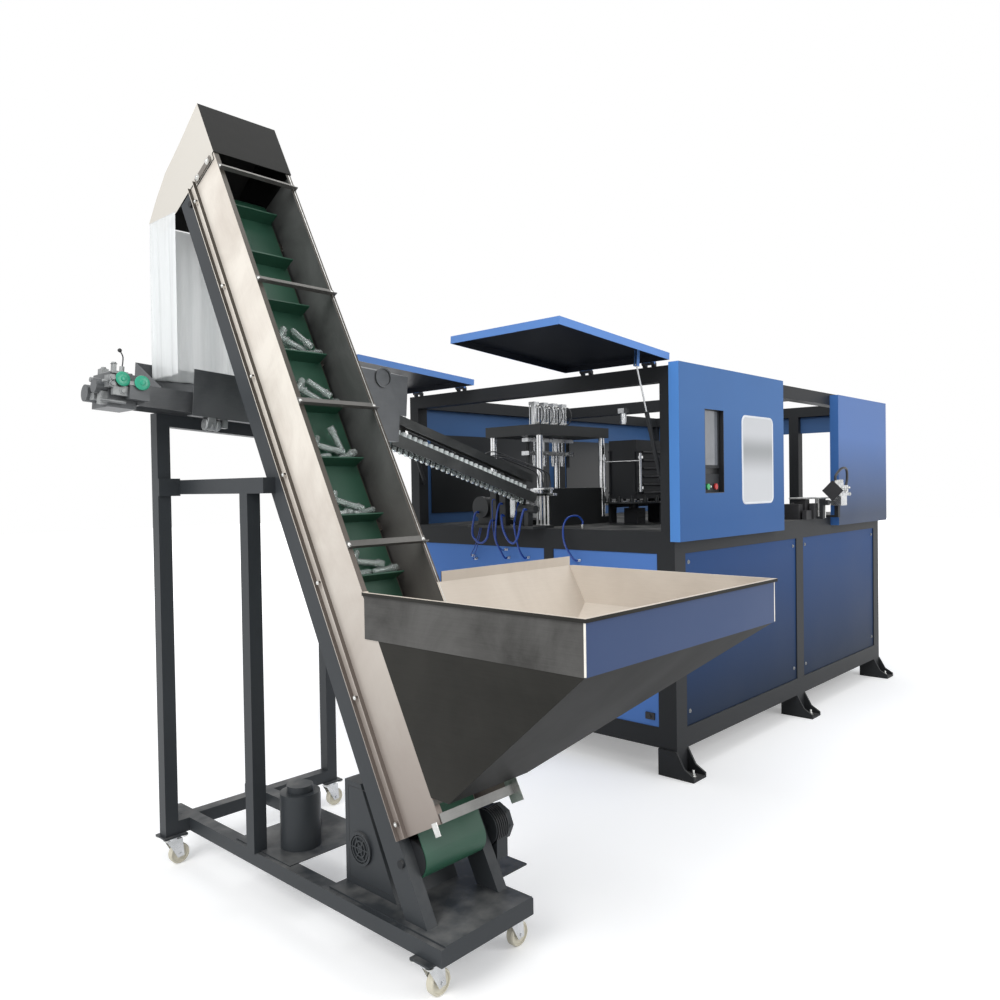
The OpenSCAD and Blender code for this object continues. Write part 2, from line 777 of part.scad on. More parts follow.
// Point and heading on the chain's loop at a distance from its start
function loop_x(s) = s < straight_l ? axle_x[0] + s
    : s < straight_l + PI * chain_r ? axle_x[1] + chain_r * sin((s - straight_l) / chain_r * 180 / PI)
    : s < 2 * straight_l + PI * chain_r ? axle_x[1] - (s - straight_l - PI * chain_r)
    : axle_x[0] - chain_r * sin((s - 2 * straight_l - PI * chain_r) / chain_r * 180 / PI);
function loop_y(s) = s < straight_l ? oven_y - chain_r
    : s < straight_l + PI * chain_r ? oven_y - chain_r * cos((s - straight_l) / chain_r * 180 / PI)
    : s < 2 * straight_l + PI * chain_r ? oven_y + chain_r
    : oven_y + chain_r * cos((s - 2 * straight_l - PI * chain_r) / chain_r * 180 / PI);
loop_l = 2 * straight_l + 2 * PI * chain_r;
spindles = floor(loop_l / spindle_pitch);

// Endless chain with the spindles that carry the preforms through the heat
module spindle_chain() {
    color(grey) difference() {
        translate([0, oven_y, chain_z]) linear_extrude(chain_t) difference() {
            slot_shape(axle_x[0], axle_x[1], chain_r + chain_half);
            slot_shape(axle_x[0], axle_x[1], chain_r - chain_half);
        }
    }
    color(zinc) for (i = [0:spindles - 1]) {
        s = (i + 0.5) * loop_l / spindles;
        bar_z([loop_x(s), loop_y(s), chain_z + chain_t], 22, spindle_r);
        bar_z([loop_x(s), loop_y(s), chain_z + chain_t + 22], 14, spindle_r * 0.62);
    }
}

// Chain wheel that turns on its axle inside the loop
module sprocket(n) {
    rim = chain_r - chain_half - 0.6;
    color(zinc) translate([axle_x[n], oven_y, chain_z]) difference() {
        union() {
            cylinder(h = chain_t, r = rim);
            cylinder(h = chain_t + 6, r = axle_r + 16);
        }
        translate([0, 0, -eps]) cylinder(h = chain_t + 8, r = axle_r + fit);
        for (i = [0:sprocket_teeth - 1]) rotate(i * 360 / sprocket_teeth) translate([rim, 0, -eps])
            cylinder(h = chain_t + 2 * eps, r = tooth_pitch / 5);
        for (i = [0:4]) rotate(i * 72 + 36) translate([rim * 0.58, 0, -eps])
            cylinder(h = chain_t + 2 * eps, r = rim * 0.2);
    }
}

module sprocket_1() {
    sprocket(0);
}

module sprocket_2() {
    sprocket(1);
}

elev_x = -1950;
elev_y = -242;
elev_z = 389;
flange_w = 16;
ridge_w = 14;
tail_y = -50;
drum_z = -16;
head_y = wall_l - 60;
belt_in = drum_r + gap;
belt_x = [38, 287];
wall_foot_y = 12;
// Near edge of the elevator's front face on the floor plan, at a height
function face_y(z) = elev_y + ((z - elev_z) * cos(incline_deg) - wall_d) / sin(incline_deg);

// Places children in the elevator's own frame: across, up along the slope, out of the front
module incline() {
    translate([elev_x, elev_y, elev_z]) rotate([incline_deg, 0, 0]) children();
}

// Extrudes a profile drawn in the slope and front directions across the elevator
module across(x, w) {
    translate([x, 0, 0]) rotate([90, 0, 90]) linear_extrude(w) children();
}

strap_y = [860, 1385, 1885, 2395];
bar_at = [360, 1000, 1700, 2250];
bolt_y = [57, 443, 827, 1221, 1612, 2002, 2395];

// Stainless side walls of the elevator with folded front flanges and side ridges
module elevator_walls() {
    color(steel) incline() {
        for (x = [0, elev_w - wall_t]) {
            block([x, wall_foot_y, 0], [x + wall_t, wall_l, wall_d]);
            side = x == 0 ? 1 : -1;
            inner = x == 0 ? wall_t : elev_w - wall_t - flange_w;
            block([inner, wall_foot_y, wall_d - wall_t], [inner + flange_w, wall_l, wall_d]);
            outer = x == 0 ? -ridge_w : elev_w;
            block([outer, wall_foot_y, 0], [outer + ridge_w, wall_l, wall_t]);
            block([outer, wall_foot_y, 40], [outer + ridge_w, wall_l, 40 + wall_t]);
        }
        // Slider pan that carries the belt's upper run
        block([belt_x[0] - 8, 40, belt_in + drum_z - 5], [belt_x[1] + 8, head_y - 70, belt_in + drum_z - 1]);
        for (y = bar_at) block([wall_t, y, 8], [elev_w - wall_t, y + 30, 20]);
        for (y = bar_at, x = [60, 250]) block([x, y, 20], [x + 20, y + 30, belt_in + drum_z - 5]);
    }
    color(zinc) incline() for (y = bolt_y) {
        bar_x([-ridge_w, y, 22], ridge_w, 7);
        bar_x([elev_w, y, 22], ridge_w, 7);
    }
}

// Angle straps across the elevator's open front
module cross_straps() {
    color(steel) incline() for (y = strap_y) {
        block([0, y, wall_d], [elev_w, y + 26, wall_d + wall_t]);
        block([0, y, wall_d + wall_t], [elev_w, y + wall_t, wall_d + 18]);
    }
    color(steel) incline() block([0, 65, wall_d], [elev_w, 80, wall_d + wall_t]);
}

hood_out = [[wall_l, wall_d + 3], [2712, 203], [2684, 24], [2670, -119], [2634, -231], [2592, -330],
    [2476, -255], [wall_l, -85]];
hood_side = 3;

// Discharge hood over the elevator's head: two sides and a folded cover, open below
module hood() {
    color(steel) incline() {
        for (x = [-hood_side - gap, elev_w + gap]) across(x, hood_side) polygon(hood_out);
        difference() {
            across(-gap, elev_w + 2 * gap) polygon([for (i = [0:5]) hood_out[i]]);
            across(-gap - eps, elev_w + 2 * gap + 2 * eps) polygon([[wall_l - eps, 200], [2708.5, 200],
                [2681, 24], [2667, -118], [2631, -230], [2588, -330], [2560, -350], [wall_l - eps, -100]]);
        }
        for (x = [-hood_side - gap, elev_w + gap]) {
            block([x, wall_l - 24, 46], [x + hood_side, wall_l, 191]);
            for (z = [76, 160]) bar_x([x < 0 ? x - 5 : x + hood_side, wall_l - 12, z], 5, 8);
        }
    }
}

curtain_t = 2;
curtain_low = 1885;
curtain_y = 1269;

// Translucent drop curtain below the hood, round three sides of the falling preforms
module drop_curtain() {
    color([0.85, 0.85, 0.84, 0.6]) {
        for (x = [elev_x - hood_side - 2 * gap - curtain_t, elev_x + elev_w + 2 * gap + hood_side])
            along_x(x, curtain_t) polygon([[1040, 2540], [1250, 2540], [curtain_y, 2524],
                [curtain_y, curtain_low], [1040, curtain_low]]);
        block([elev_x - hood_side - 2 * gap, curtain_y - curtain_t, curtain_low],
            [elev_x + elev_w + 2 * gap + hood_side, curtain_y, 2524]);
    }
}

belt_loop_l = 2 * (head_y - tail_y) + 2 * PI * belt_in;
cleats_up = floor((head_y - 143) / cleat_pitch);

// Cleated conveyor belt round its two drums
module belt() {
    color(belt_green) incline() {
        across(belt_x[0], belt_x[1] - belt_x[0]) difference() {
            translate([0, drum_z]) slot_shape(tail_y, head_y, belt_in + belt_t);
            translate([0, drum_z]) slot_shape(tail_y, head_y, belt_in);
        }
        for (k = [0:cleats_up]) {
            y = 143 + k * cleat_pitch;
            block([belt_x[0] + 8, y, drum_z + belt_in + belt_t],
                [belt_x[1] - 8, y + 5, drum_z + belt_in + belt_t + cleat_h]);
            block([belt_x[0] + 8, y, drum_z - belt_in - belt_t - cleat_h],
                [belt_x[1] - 8, y + 5, drum_z - belt_in - belt_t]);
        }
    }
}

// Belt drum with its shaft through the beams
module drum(y, x1) {
    color(grey) incline() {
        bar_x([belt_x[0] - 2, y, drum_z], belt_x[1] - belt_x[0] + 4, drum_r);
        bar_x([-14, y, drum_z], x1 + 14, shaft_r);
    }
}

module head_drum() {
    drum(head_y, elev_w + 14);
}

drive_shaft_end = 392;

module tail_drum() {
    drum(tail_y, drive_shaft_end);
}

motor_x = elev_x + elev_w + 12;
motor_y = elev_y + tail_y * cos(incline_deg) - drum_z * sin(incline_deg);
motor_z = elev_z + tail_y * sin(incline_deg) + drum_z * cos(incline_deg);

// Hollow-shaft gearmotor on the tail drum's shaft, with its guard and torque arm
module gearmotor() {
    color(black) difference() {
        union() {
            bar_x([motor_x, motor_y, motor_z], 62, 57);
            block([motor_x + 6, motor_y - 52, motor_z - 96], [motor_x + 56, motor_y + 30, motor_z]);
        }
        bar_x([motor_x - eps, motor_y, motor_z], drive_shaft_end - elev_w, shaft_r + fit);
    }
    color(grey) translate([motor_x + 62, motor_y, motor_z]) rotate([90, 0, 90])
        cylinder(h = 16, r = 60, $fn = 8);
    color(zinc) block([motor_x + 20, motor_y - 30, tray_top], [motor_x + 42, motor_y - 10, motor_z - 50]);
}

hopper_x0 = elev_x - 3;
hopper_x1 = hopper_x0 + hopper_l;
hopper_y0 = -65 - hopper_w;
band_z = hopper_z - band_h;
chute_z = 560;
chute_x1 = elev_x + elev_w;
chute_y0 = -450;
// Wall thickness seen along the slope of the inclined back edge
skew_t = hopper_t;

// One frustum of the hopper between two heights, given its left, right and front walls
module hopper_body(inset, z0, z1, right0, right1, front0, front1, up, down) {
    frustum([[hopper_x0 + inset, front0 + inset, z0 - down], [right0 - inset, front0 + inset, z0 - down],
            [right0 - inset, face_y(z0 - down) - inset - 0.3, z0 - down],
            [hopper_x0 + inset, face_y(z0 - down) - inset - 0.3, z0 - down]],
        [[hopper_x0 + inset, front1 + inset, z1 + up], [right1 - inset, front1 + inset, z1 + up],
            [right1 - inset, face_y(z1 + up) - inset - 0.3, z1 + up],
            [hopper_x0 + inset, face_y(z1 + up) - inset - 0.3, z1 + up]]);
}

// Sheet hopper: straight band with a hem, sloping funnel, mouth open to the elevator
module hopper() {
    color(steel) {
        difference() {
            union() {
                hopper_body(0, band_z, hopper_z, hopper_x1, hopper_x1, hopper_y0, hopper_y0, 0, 0);
                hopper_body(0, chute_z, band_z, chute_x1, hopper_x1, chute_y0, hopper_y0, 0, 0);
            }
            hopper_body(hopper_t, band_z, hopper_z, hopper_x1, hopper_x1, hopper_y0, hopper_y0, eps, 0);
            hopper_body(hopper_t, chute_z, band_z, chute_x1, hopper_x1, chute_y0, hopper_y0, 0.01, eps);
            // Mouth between the elevator's walls
            translate([elev_x, elev_y, elev_z]) rotate([incline_deg, 0, 0])
                block([flange_w + 4, 180, wall_d - 20], [elev_w - flange_w - 4, 1000, wall_d + 60]);
        }
        // Folded hem round the rim
        difference() {
            block([hopper_x0 - 9, hopper_y0 - 9, hopper_z - 10], [hopper_x1 + 9, face_y(hopper_z) - 12, hopper_z]);
            block([hopper_x0, hopper_y0, hopper_z - 11], [hopper_x1, face_y(hopper_z) + 50, hopper_z + 1]);
        }
        // Back lip that rises along the elevator's face
        along_x(chute_x1 + 2, hopper_x1 - chute_x1 - 2) polygon([[face_y(hopper_z) - 3.3, hopper_z - eps],
            [face_y(hopper_z) - 0.3, hopper_z - eps], [face_y(hopper_z) - 0.3, hopper_z + 34],
            [face_y(hopper_z) - 3.3, hopper_z + 34]]);
    }
}

tray_top = stand_z + stand_tube + 6;
box_x = [-1915 + gap, -1660 - gap];
box_profile = [[70, tray_top], [70, 503], [-10, 503], [-177, tray_top]];

// Control box on the stand, with a sloping front and a fan grille on its outer side
module control_box() {
    color(grey) along_x(box_x[0], box_x[1] - box_x[0]) polygon(box_profile);
    color(black) {
        difference() {
            bar_x([box_x[0] - 8, -10, 300], 8, 52);
            bar_x([box_x[0] - 9, -10, 300], 7, 44);
        }
        for (r = [12, 26, 40]) difference() {
            bar_x([box_x[0] - 7, -10, 300], 4, r);
            bar_x([box_x[0] - 8, -10, 300], 6, r - 4);
        }
        for (a = [0, 60, 120]) translate([box_x[0] - 5, -10, 300]) rotate([a, 0, 0])
            block([-1.5, -46, -2], [1.5, 46, 2]);
    }
}

tube = stand_tube;
post1_y = 960;
post2_y = 475;
rear_y = 985;
rear_x = -1330;
rail_x = [-1990, -1655];
front_y = -450;
rail_end = 1130;
sway_z = 1416;
deck_x = -2200;
deck_y = 900;
deck_z0 = 1775;
bed_drop = 45;
beam_low = -82;
beam_x = [-5, elev_w - beam_w + 5];

// Places children in the unscrambler's own frame: along the rollers, across them, up
module unscrambler() {
    translate([deck_x, deck_y, deck_z0]) rotate([0, deck_fall_deg, 0]) children();
}

// Top height of the beam that follows the unscrambler's fall
function beam_top(x) = deck_z0 - bed_drop / cos(deck_fall_deg) - (x - deck_x) * tan(deck_fall_deg) - gap;

// Painted stand: base rails on casters, posts, top beam and the elevator's inclined beams
module stand_frame() {
    color([0.17, 0.18, 0.20]) {
        for (x = rail_x) block([x, front_y, stand_z], [x + tube, rail_end, stand_z + tube]);
        for (y = [front_y, rear_y]) block([rail_x[0] + tube, y, stand_z], [rail_x[1], y + tube, stand_z + tube]);
        block([rail_x[1] + tube, rear_y, stand_z], [rear_x + tube, rear_y + tube, stand_z + tube]);
        block([-2085, post1_y, stand_z], [-2085 + tube, post1_y + tube, beam_top(-2085) - 20]);
        block([-2085 + tube, post1_y, stand_z], [rail_x[0], post1_y + tube, stand_z + tube]);
        block([-2002, post2_y, stand_z + tube], [-2002 + tube, post2_y + tube, sway_z]);
        block([rear_x, rear_y, stand_z + tube], [rear_x + tube, rear_y + tube, beam_top(rear_x) - 20]);
        block([-2002, 372, sway_z], [-2002 + tube, post1_y + tube, sway_z + tube + 4]);
        block([-2085, post1_y - 8, sway_z - 6], [-2002, post1_y, sway_z + tube + 10]);
        // Elevator's beams, cut level at the foot, with the drum shafts' bores
        for (x = beam_x) difference() {
            incline() block([x, -400, beam_low], [x + beam_w, wall_l - 10, 0]);
            block([elev_x - 100, -1200, -300], [elev_x + elev_w + 100, 1200, stand_z + tube]);
            for (y = [tail_y, head_y]) incline() bar_x([x - eps, y, drum_z], beam_w + 2 * eps, shaft_r + fit);
        }
        // Beam under the unscrambler, falling with it
        along_y(post1_y, tube) polygon([[-2085, beam_top(-2085) - 46],
            [rear_x + tube, beam_top(rear_x + tube) - 46], [rear_x + tube, beam_top(rear_x + tube)],
            [-2085, beam_top(-2085)]]);
    }
    color(zinc) {
        // Plates over the casters
        for (c = caster_at) block([c[0] - 45, c[1] - 40, stand_z - 6], [c[0] + 45, c[1] + 40, stand_z]);
    }
    color(steel) {
        // Base tray under the drive end and the control box
        block([rail_x[0] + 15, front_y, stand_z + tube], [rail_x[1] + tube - 5, -150, tray_top]);
        block([rail_x[1] + tube - 6, -290, stand_z + tube], [-1450, -80, tray_top]);
        block([rail_x[0] + 15, -151, stand_z + tube], [rail_x[1] + tube - 5, 80, tray_top]);
        // Blower and reservoir on a base sheet
        block([rail_x[0] + 15, 300, stand_z + tube], [rail_x[1] + tube - 5, 640, stand_z + tube + 3]);
    }
    color(black) {
        bar_z([-1850, 420, stand_z + tube + 3], 190, 70);
        bar_z([-1850, 420, stand_z + tube + 193], 24, 46);
        bar_z([-1720, 560, stand_z + tube + 3], 110, 45);
    }
}

caster_at = [[-2050, 985], [-1305, 1010], [-1965, -380], [-1630, -380]];
plate_low = stand_z - 6;
fork_in = wheel_w / 2 + 2;
trail = 26;
fork_top_t = 4;
stem_r = 9;

// Swivel fork of a caster, round its stem's washer, with the wheel's axle
module fork(n) {
    c = caster_at[n];
    z1 = plate_low - gap;
    color(zinc) {
        bar_z([c[0], c[1], z1 - 16], 16, 22);
        block([c[0] - 26, c[1] - fork_in - 3, z1 - 20], [c[0] + trail + 8, c[1] + fork_in + 3, z1 - 16]);
        for (y = [c[1] - fork_in - 3, c[1] + fork_in]) along_y(y, 3) polygon([[c[0] - 26, z1 - 16],
            [c[0] + trail + 8, z1 - 16], [c[0] + trail + 14, wheel_r - 8], [c[0] + trail - 12, wheel_r - 12]]);
        bar_y([c[0] + trail, c[1] - fork_in - 6, wheel_r], 2 * fork_in + 12, 6);
    }
}

module fork_1() {
    fork(0);
}

module fork_2() {
    fork(1);
}

module fork_3() {
    fork(2);
}

module fork_4() {
    fork(3);
}

// Caster wheel: tread round a hub, bored for the axle
module wheel(n) {
    c = caster_at[n];
    color([0.80, 0.78, 0.70]) translate([c[0] + trail, c[1], wheel_r]) rotate([90, 0, 0]) difference() {
        rotate_extrude($fn = 48) polygon([[6 + fit, -wheel_w / 2], [15, -wheel_w / 2], [16, -wheel_w / 2 + 3],
            [wheel_r - 8, -wheel_w / 2 + 3], [wheel_r - 7, -wheel_w / 2], [wheel_r - 3, -wheel_w / 2],
            [wheel_r, -wheel_w / 2 + 4], [wheel_r, wheel_w / 2 - 4], [wheel_r - 3, wheel_w / 2],
            [wheel_r - 7, wheel_w / 2], [wheel_r - 8, wheel_w / 2 - 3], [16, wheel_w / 2 - 3],
            [15, wheel_w / 2], [6 + fit, wheel_w / 2]]);
        translate([0, 0, -wheel_w]) cylinder(h = 2 * wheel_w, r = 6 + fit);
    }
}

module wheel_1() {
    wheel(0);
}

module wheel_2() {
    wheel(1);
}

module wheel_3() {
    wheel(2);
}

module wheel_4() {
    wheel(3);
}

end_plate_t = 10;
side_y = 75;

// Unscrambler's bed: side plates, end plates with the rollers' bores, clamps and end drive
module unscrambler_deck() {
    color([0.72, 0.73, 0.74]) unscrambler() {
        for (y = [-side_y - 4, side_y]) block([-end_plate_t - 4, y, -bed_drop], [roller_l + end_plate_t + 4, y + 4, 30]);
        for (x = [-end_plate_t - 4, roller_l + 4]) difference() {
            block([x, -side_y, -bed_drop], [x + end_plate_t, side_y, 30]);
            for (y = [-1, 1])
                bar_x([x - eps, y * roller_gap / 2, 0], end_plate_t + 2 * eps, 8 + fit);
        }
        // Feet on the stand's beam, below the tray
        for (x = [150, 520, 880]) block([x, side_y + 4, -bed_drop], [x + 40, side_y + 20, -33 - gap]);
    }
    color(grey) unscrambler() {
        // Drive housing on the left end
        block([-110, -70, -60], [-end_plate_t - 4, 70, 60]);
        block([-60, -120, -30], [10, -side_y - 4, 20]);
    }
    color(zinc) unscrambler() {
        bar_x([-150, -38, 10], 40, 26);
        bar_x([-150, 38, -10], 40, 30);
        for (x = [-90, -50]) bar_y([x, -108, 20], 38, 13);
    }
}

// Roller of the unscrambler, with its two journals
module roller(n) {
    color(steel) unscrambler() {
        y = (n == 0 ? -1 : 1) * roller_gap / 2;
        bar_x([0, y, 0], roller_l, roller_r);
        bar_x([-end_plate_t - 3, y, 0], roller_l + 2 * end_plate_t + 6, 8);
    }
}

module roller_1() {
    roller(0);
}

module roller_2() {
    roller(1);
}

tray_y = [80, 380];
tray_x = [170, 1150];

// Sheet trays beside the rollers: front apron, sloping catch tray, tall cover with its fan
module preform_tray() {
    color(steel) unscrambler() {
        block([tray_x[0], -120, -60], [tray_x[1], -117, 110]);
        block([tray_x[0], -117, -60], [tray_x[1], -side_y - 4, -57]);
        for (x = [tray_x[0], tray_x[1] - 3]) along_x(x, 3) polygon([[tray_y[0], 30], [tray_y[0], 34],
            [tray_y[1], 190], [tray_y[1], 40], [tray_y[0], -30]]);
        along_x(tray_x[0], tray_x[1] - tray_x[0]) polygon([[side_y + 4, -33], [tray_y[1], 37],
            [tray_y[1], 190], [tray_y[1] - 3, 190], [tray_y[1] - 3, 39], [side_y + 4, -30]]);
    }
    color(steel) unscrambler() difference() {
        along_x(900, 290) polygon([[-120, 110], [100, 60], [100, 270], [70, 290], [-120, 240]]);
        along_x(903, 284) polygon([[-117, 40], [97, 30], [97, 268], [69, 287], [-117, 238]]);
    }
    color(steel) unscrambler() {
        along_x(900, 3) polygon([[side_y + 4, 30], [100, 30], [100, 70], [side_y + 4, 80]]);
        block([900, -120, 109], [1150, -117, 112]);
        block([1150, -120, 60], [1190, -117, 112]);
    }
    color(black) unscrambler() difference() {
        bar_y([1046, -128, 215], 8, 45);
        bar_y([1046, -129, 215], 7, 37);
    }
}

rail_at = [-1030, 900, 1694];
groove = 14;
guide_t = 8;
neck_h = 20;

// Places children in the infeed rail's frame: along its fall, across it, up
module on_rail() {
    translate(rail_at) rotate([0, rail_fall_deg, 0]) children();
}

// Two rail bars that hold the preforms by their neck rings, with guards, ties and end supports
module infeed_rail() {
    color(steel) on_rail() {
        for (y = [-1, 1]) {
            y0 = y < 0 ? -groove - guide_t : groove;
            block([14, y0, -40], [rail_l, y0 + guide_t, 0]);
            block([14, y * 46 - 2, -64], [rail_l - 40, y * 46 + 2, -8]);
        }
        for (x = [40:190:rail_l - 100], y = [-1, 1])
            block([x, y < 0 ? -45 : groove + guide_t - 1, -21], [x + 24, y < 0 ? 1 - groove - guide_t : 45, -12]);
        for (x = [120, 500, 880]) {
            block([x, 46, -24], [x + 30, 60, 83]);
            block([x, -22, 76], [x + 30, 60, 83]);
        }
        block([30, -24, 46], [rail_l - 60, -20, 86]);
        block([30, 20, 46], [rail_l - 60, 24, 86]);
        block([30, -24, 86], [rail_l - 60, 24, 89]);
    }
    color(grey) {
        // Upper end hangs on the unscrambler's end plate, lower end stands on the loading station
        unscrambler() for (y = [-43, groove + 1])
            block([roller_l + end_plate_t + 4 + gap, y, -bed_drop], [roller_l + end_plate_t + 34, y + 28, -16]);
        block([-34, foot_y[0], station_top + gap], [-2, foot_y[1], 1380]);
    }
}

// One preform hanging by its neck ring at the origin
module preform() {
    rotate_extrude($fn = 24) polygon([[0, 24], [12, 24], [12, 4], [neck_r, 4], [neck_r, gap],
        [preform_r + 1, gap], [preform_r, -2], [preform_r, -preform_l + 30], [preform_r * 0.7, -preform_l + 24], [0, -preform_l + 22]]);
}

preforms_on_rail = floor((rail_l - 60) / preform_pitch);

// Row of preforms queued down the rail
module rail_preforms() {
    color(clear_pet) on_rail() for (i = [0:preforms_on_rail - 1])
        translate([34 + i * preform_pitch, 0, 0]) preform();
}

cleats_heaped = 7;

// Heap of preforms lying in a row on each lower cleat of the belt
module belt_preforms() {
    color(clear_pet) incline() for (k = [3:cleats_heaped]) {
        y = 143 + k * cleat_pitch + 5 + neck_r + gap;
        z = drum_z + belt_in + belt_t + neck_r + gap;
        for (x = [0, 1]) translate([belt_x[0] + 36 + x * 110, y, z]) rotate([0, 90, 0])
            translate([0, 0, 81 - 24 - 2]) preform();
        translate([belt_x[0] + 92, y + 2 * neck_r + 0.5, z]) rotate([0, 90, 0])
            translate([0, 0, 81 - 24 - 2]) preform();
    }
}

station_z = deck_z + 14;
station_top = 1290;
station_y = [800, 1290];
pillar_y = [930, 990];
foot_y = [940, 960];

// Loading station on the end's sill: base plate, pneumatic cylinders, drive motor and its fan
module loading_station() {
    color(grey) {
        block([-110, station_y[0], deck_z], [press_x - press_l / 2 - gap, station_y[1], station_z]);
        block([-40, pillar_y[0], station_z], [34, pillar_y[1], station_top]);
    }
    color(zinc) {
        for (y = [1010, 1080]) {
            block([-96, y, station_z], [-56, y + 44, 1400]);
            bar_z([-76, y + 22, 1400], 40, 7);
        }
        block([-100, 1000, 1440], [-50, 1134, 1456]);
    }
    color(black) {
        bar_x([-60, 1215, 1310], 90, 56);
        block([-50, 1165, station_z], [20, 1265, 1290]);
        bar_x([-84, 1215, 1310], 24, 62);
    }
    color(blue) {
        bar_y([-70, 810, 1300], 120, 22);
        block([-90, 850, station_z], [-50, 880, 1285]);
    }
}

filter_at = [mid_post_x - 30, 1221, top_z];
filter_head = [60, 50, 35];
bowl_l = 63;
bowl_r = 22;
bowl_cap_t = 12;

// Air filter with a clear bowl, its head against the roof's middle cross beam
module air_filter() {
    color(zinc) translate(filter_at - [filter_head[0] / 2, filter_head[1] / 2, 0]) cube(filter_head);
    color([0.80, 0.86, 0.88, 0.6]) bar_z(filter_at - [0, 0, bowl_l], bowl_l, bowl_r);
    color(black) bar_z(filter_at - [0, 0, bowl_l + bowl_cap_t], bowl_cap_t, bowl_r - 4);
}

// Hand-laid runs of the blue air hoses over the end's sill
hose_r = 6;
hose_runs = [
    [[-96.4, 1100, 1236], [-118, 1100, 1236], [-132, 1106, 1190], [-130, 1122, 1140], [-128, 1160, 1112],
        [-130, 1200, 1118], [-132, 1234, 1160], [-122, 1232, 1240], [-106, 1228, 1280], [-84.4, 1228, 1280]],
    [[-92.4, 860, 1298], [-114, 860, 1298], [-132, 868, 1235], [-134, 885, 1160], [-130, 920, 1118],
        [-130, 960, 1130], [-132, 996, 1190], [-118, 1020, 1264], [-96.4, 1020, 1264]]];

function mix3(a, b, c, d, t) = 0.5 * (2 * b + (c - a) * t + (2 * a - 5 * b + 4 * c - d) * t * t
    + (3 * b - a - 3 * c + d) * t * t * t);
function path_at(p, s) = let(n = len(p) - 1, i = min(floor(s * n), n - 1), t = s * n - i)
    mix3(p[max(i - 1, 0)], p[i], p[i + 1], p[min(i + 2, n)], t);
function unit(v) = v / norm(v);

// Round tube swept along a hand-laid run
module swept_tube(p, r, steps, sides = 8) {
    rings = [for (k = [0:steps]) let(s = k / steps, c = path_at(p, s),
        d = unit(path_at(p, min(s + 0.001, 1)) - path_at(p, max(s - 0.001, 0))),
        u = unit(cross(d, [0.31, 0.17, 0.93])), v = cross(d, u))
        for (j = [0:sides - 1]) c + r * (cos(j * 360 / sides) * u + sin(j * 360 / sides) * v)];
    polyhedron(rings, concat([[for (j = [0:sides - 1]) j]],
        [for (k = [0:steps - 1], j = [0:sides - 1]) [k * sides + j, (k + 1) * sides + j,
            (k + 1) * sides + (j + 1) % sides]],
        [for (k = [0:steps - 1], j = [0:sides - 1]) [k * sides + j, (k + 1) * sides + (j + 1) % sides,
            k * sides + (j + 1) % sides]],
        [[for (j = [0:sides - 1]) steps * sides + sides - 1 - j]]));
}

module air_hoses() {
    color([0.10, 0.30, 0.62]) for (run = hose_runs) swept_tube(run, hose_r, 30);
}

arm_z = 1375;
guide_out_z = 1296;
outlet_travel = 100;
carriage_x = 1790;
clamp_w = 36;
clamp_x = [carriage_x - outlet_travel - 4 - clamp_w, 1900];

// Fixed part of the bottle outlet: clamps on the beam's top, posts and the slide's guide rods
module outlet_base() {
    color(black) {
        for (x = clamp_x) {
            block([x, -70, deck_z], [x + clamp_w, 40, deck_z + 14]);
            block([x, -70, deck_z + 14], [x + clamp_w, -46, 1320]);
        }
    }
    color(zinc) bar_x([clamp_x[0] - 10, -84, guide_out_z], clamp_x[1] - clamp_x[0] + clamp_w + 20, 9);
    color(black) for (x = clamp_x)
        block([x, -100, guide_out_z - 16], [x + clamp_w, -70, guide_out_z + 16]);
}

// Sliding part of the bottle outlet: carriage, manifold block and the stop plate
module outlet_arm() {
    color([0.70, 0.71, 0.73]) difference() {
        block([carriage_x, -130, guide_out_z - 22], [carriage_x + 100, -64, guide_out_z + 40]);
        bar_x([carriage_x - eps, -84, guide_out_z], 100 + 2 * eps, 9 + fit);
    }
    color([0.70, 0.71, 0.73]) {
        block([1740, -138, guide_out_z + 40], [1930, -66, guide_out_z + 58]);
        block([1760, -128, arm_z - 20], [1920, -76, arm_z + 26]);
        for (x = [1790, 1880]) bar_z([x, -102, guide_out_z + 58], arm_z - 78 - guide_out_z, 9);
        for (x = [1775:28:1905]) bar_z([x, -102, arm_z + 26], 16, 8);
    }
    color(black) translate([1730, -102, arm_z - 6]) rotate([0, 90, 0]) cylinder(h = 10, r = 52, $fn = 4);
}

base_frame();
upper_frame();
feet();
deck();
lower_panels();
operator_cover();
window();
control_panel();
start_button();
stop_button();
outlet_cover();
rear_covers();
door_1();
door_2();
strut_body_1();
strut_rod_1();
strut_body_2();
strut_rod_2();
press_frame();
mould_front();
mould_rear();
stretch_cylinders();
stretch_bar();
stretch_rods();
nozzle_bar();
oven_housing();
spindle_chain();
sprocket_1();
sprocket_2();
infeed_rail();
rail_preforms();
loading_station();
air_hoses();
air_filter();
outlet_base();
outlet_arm();
elevator_walls();
cross_straps();
hood();
drop_curtain();
belt();
head_drum();
tail_drum();
hopper();
gearmotor();
belt_preforms();
control_box();
stand_frame();
roller_1();
roller_2();
unscrambler_deck();
preform_tray();
fork_1();
fork_2();
fork_3();
fork_4();
wheel_1();
wheel_2();
wheel_3();
wheel_4();
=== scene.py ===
"""Looks of a bottle blow moulding machine with its preform elevator."""

import math

import bmesh
import bpy
import numpy as np
from mathutils import Matrix, Vector


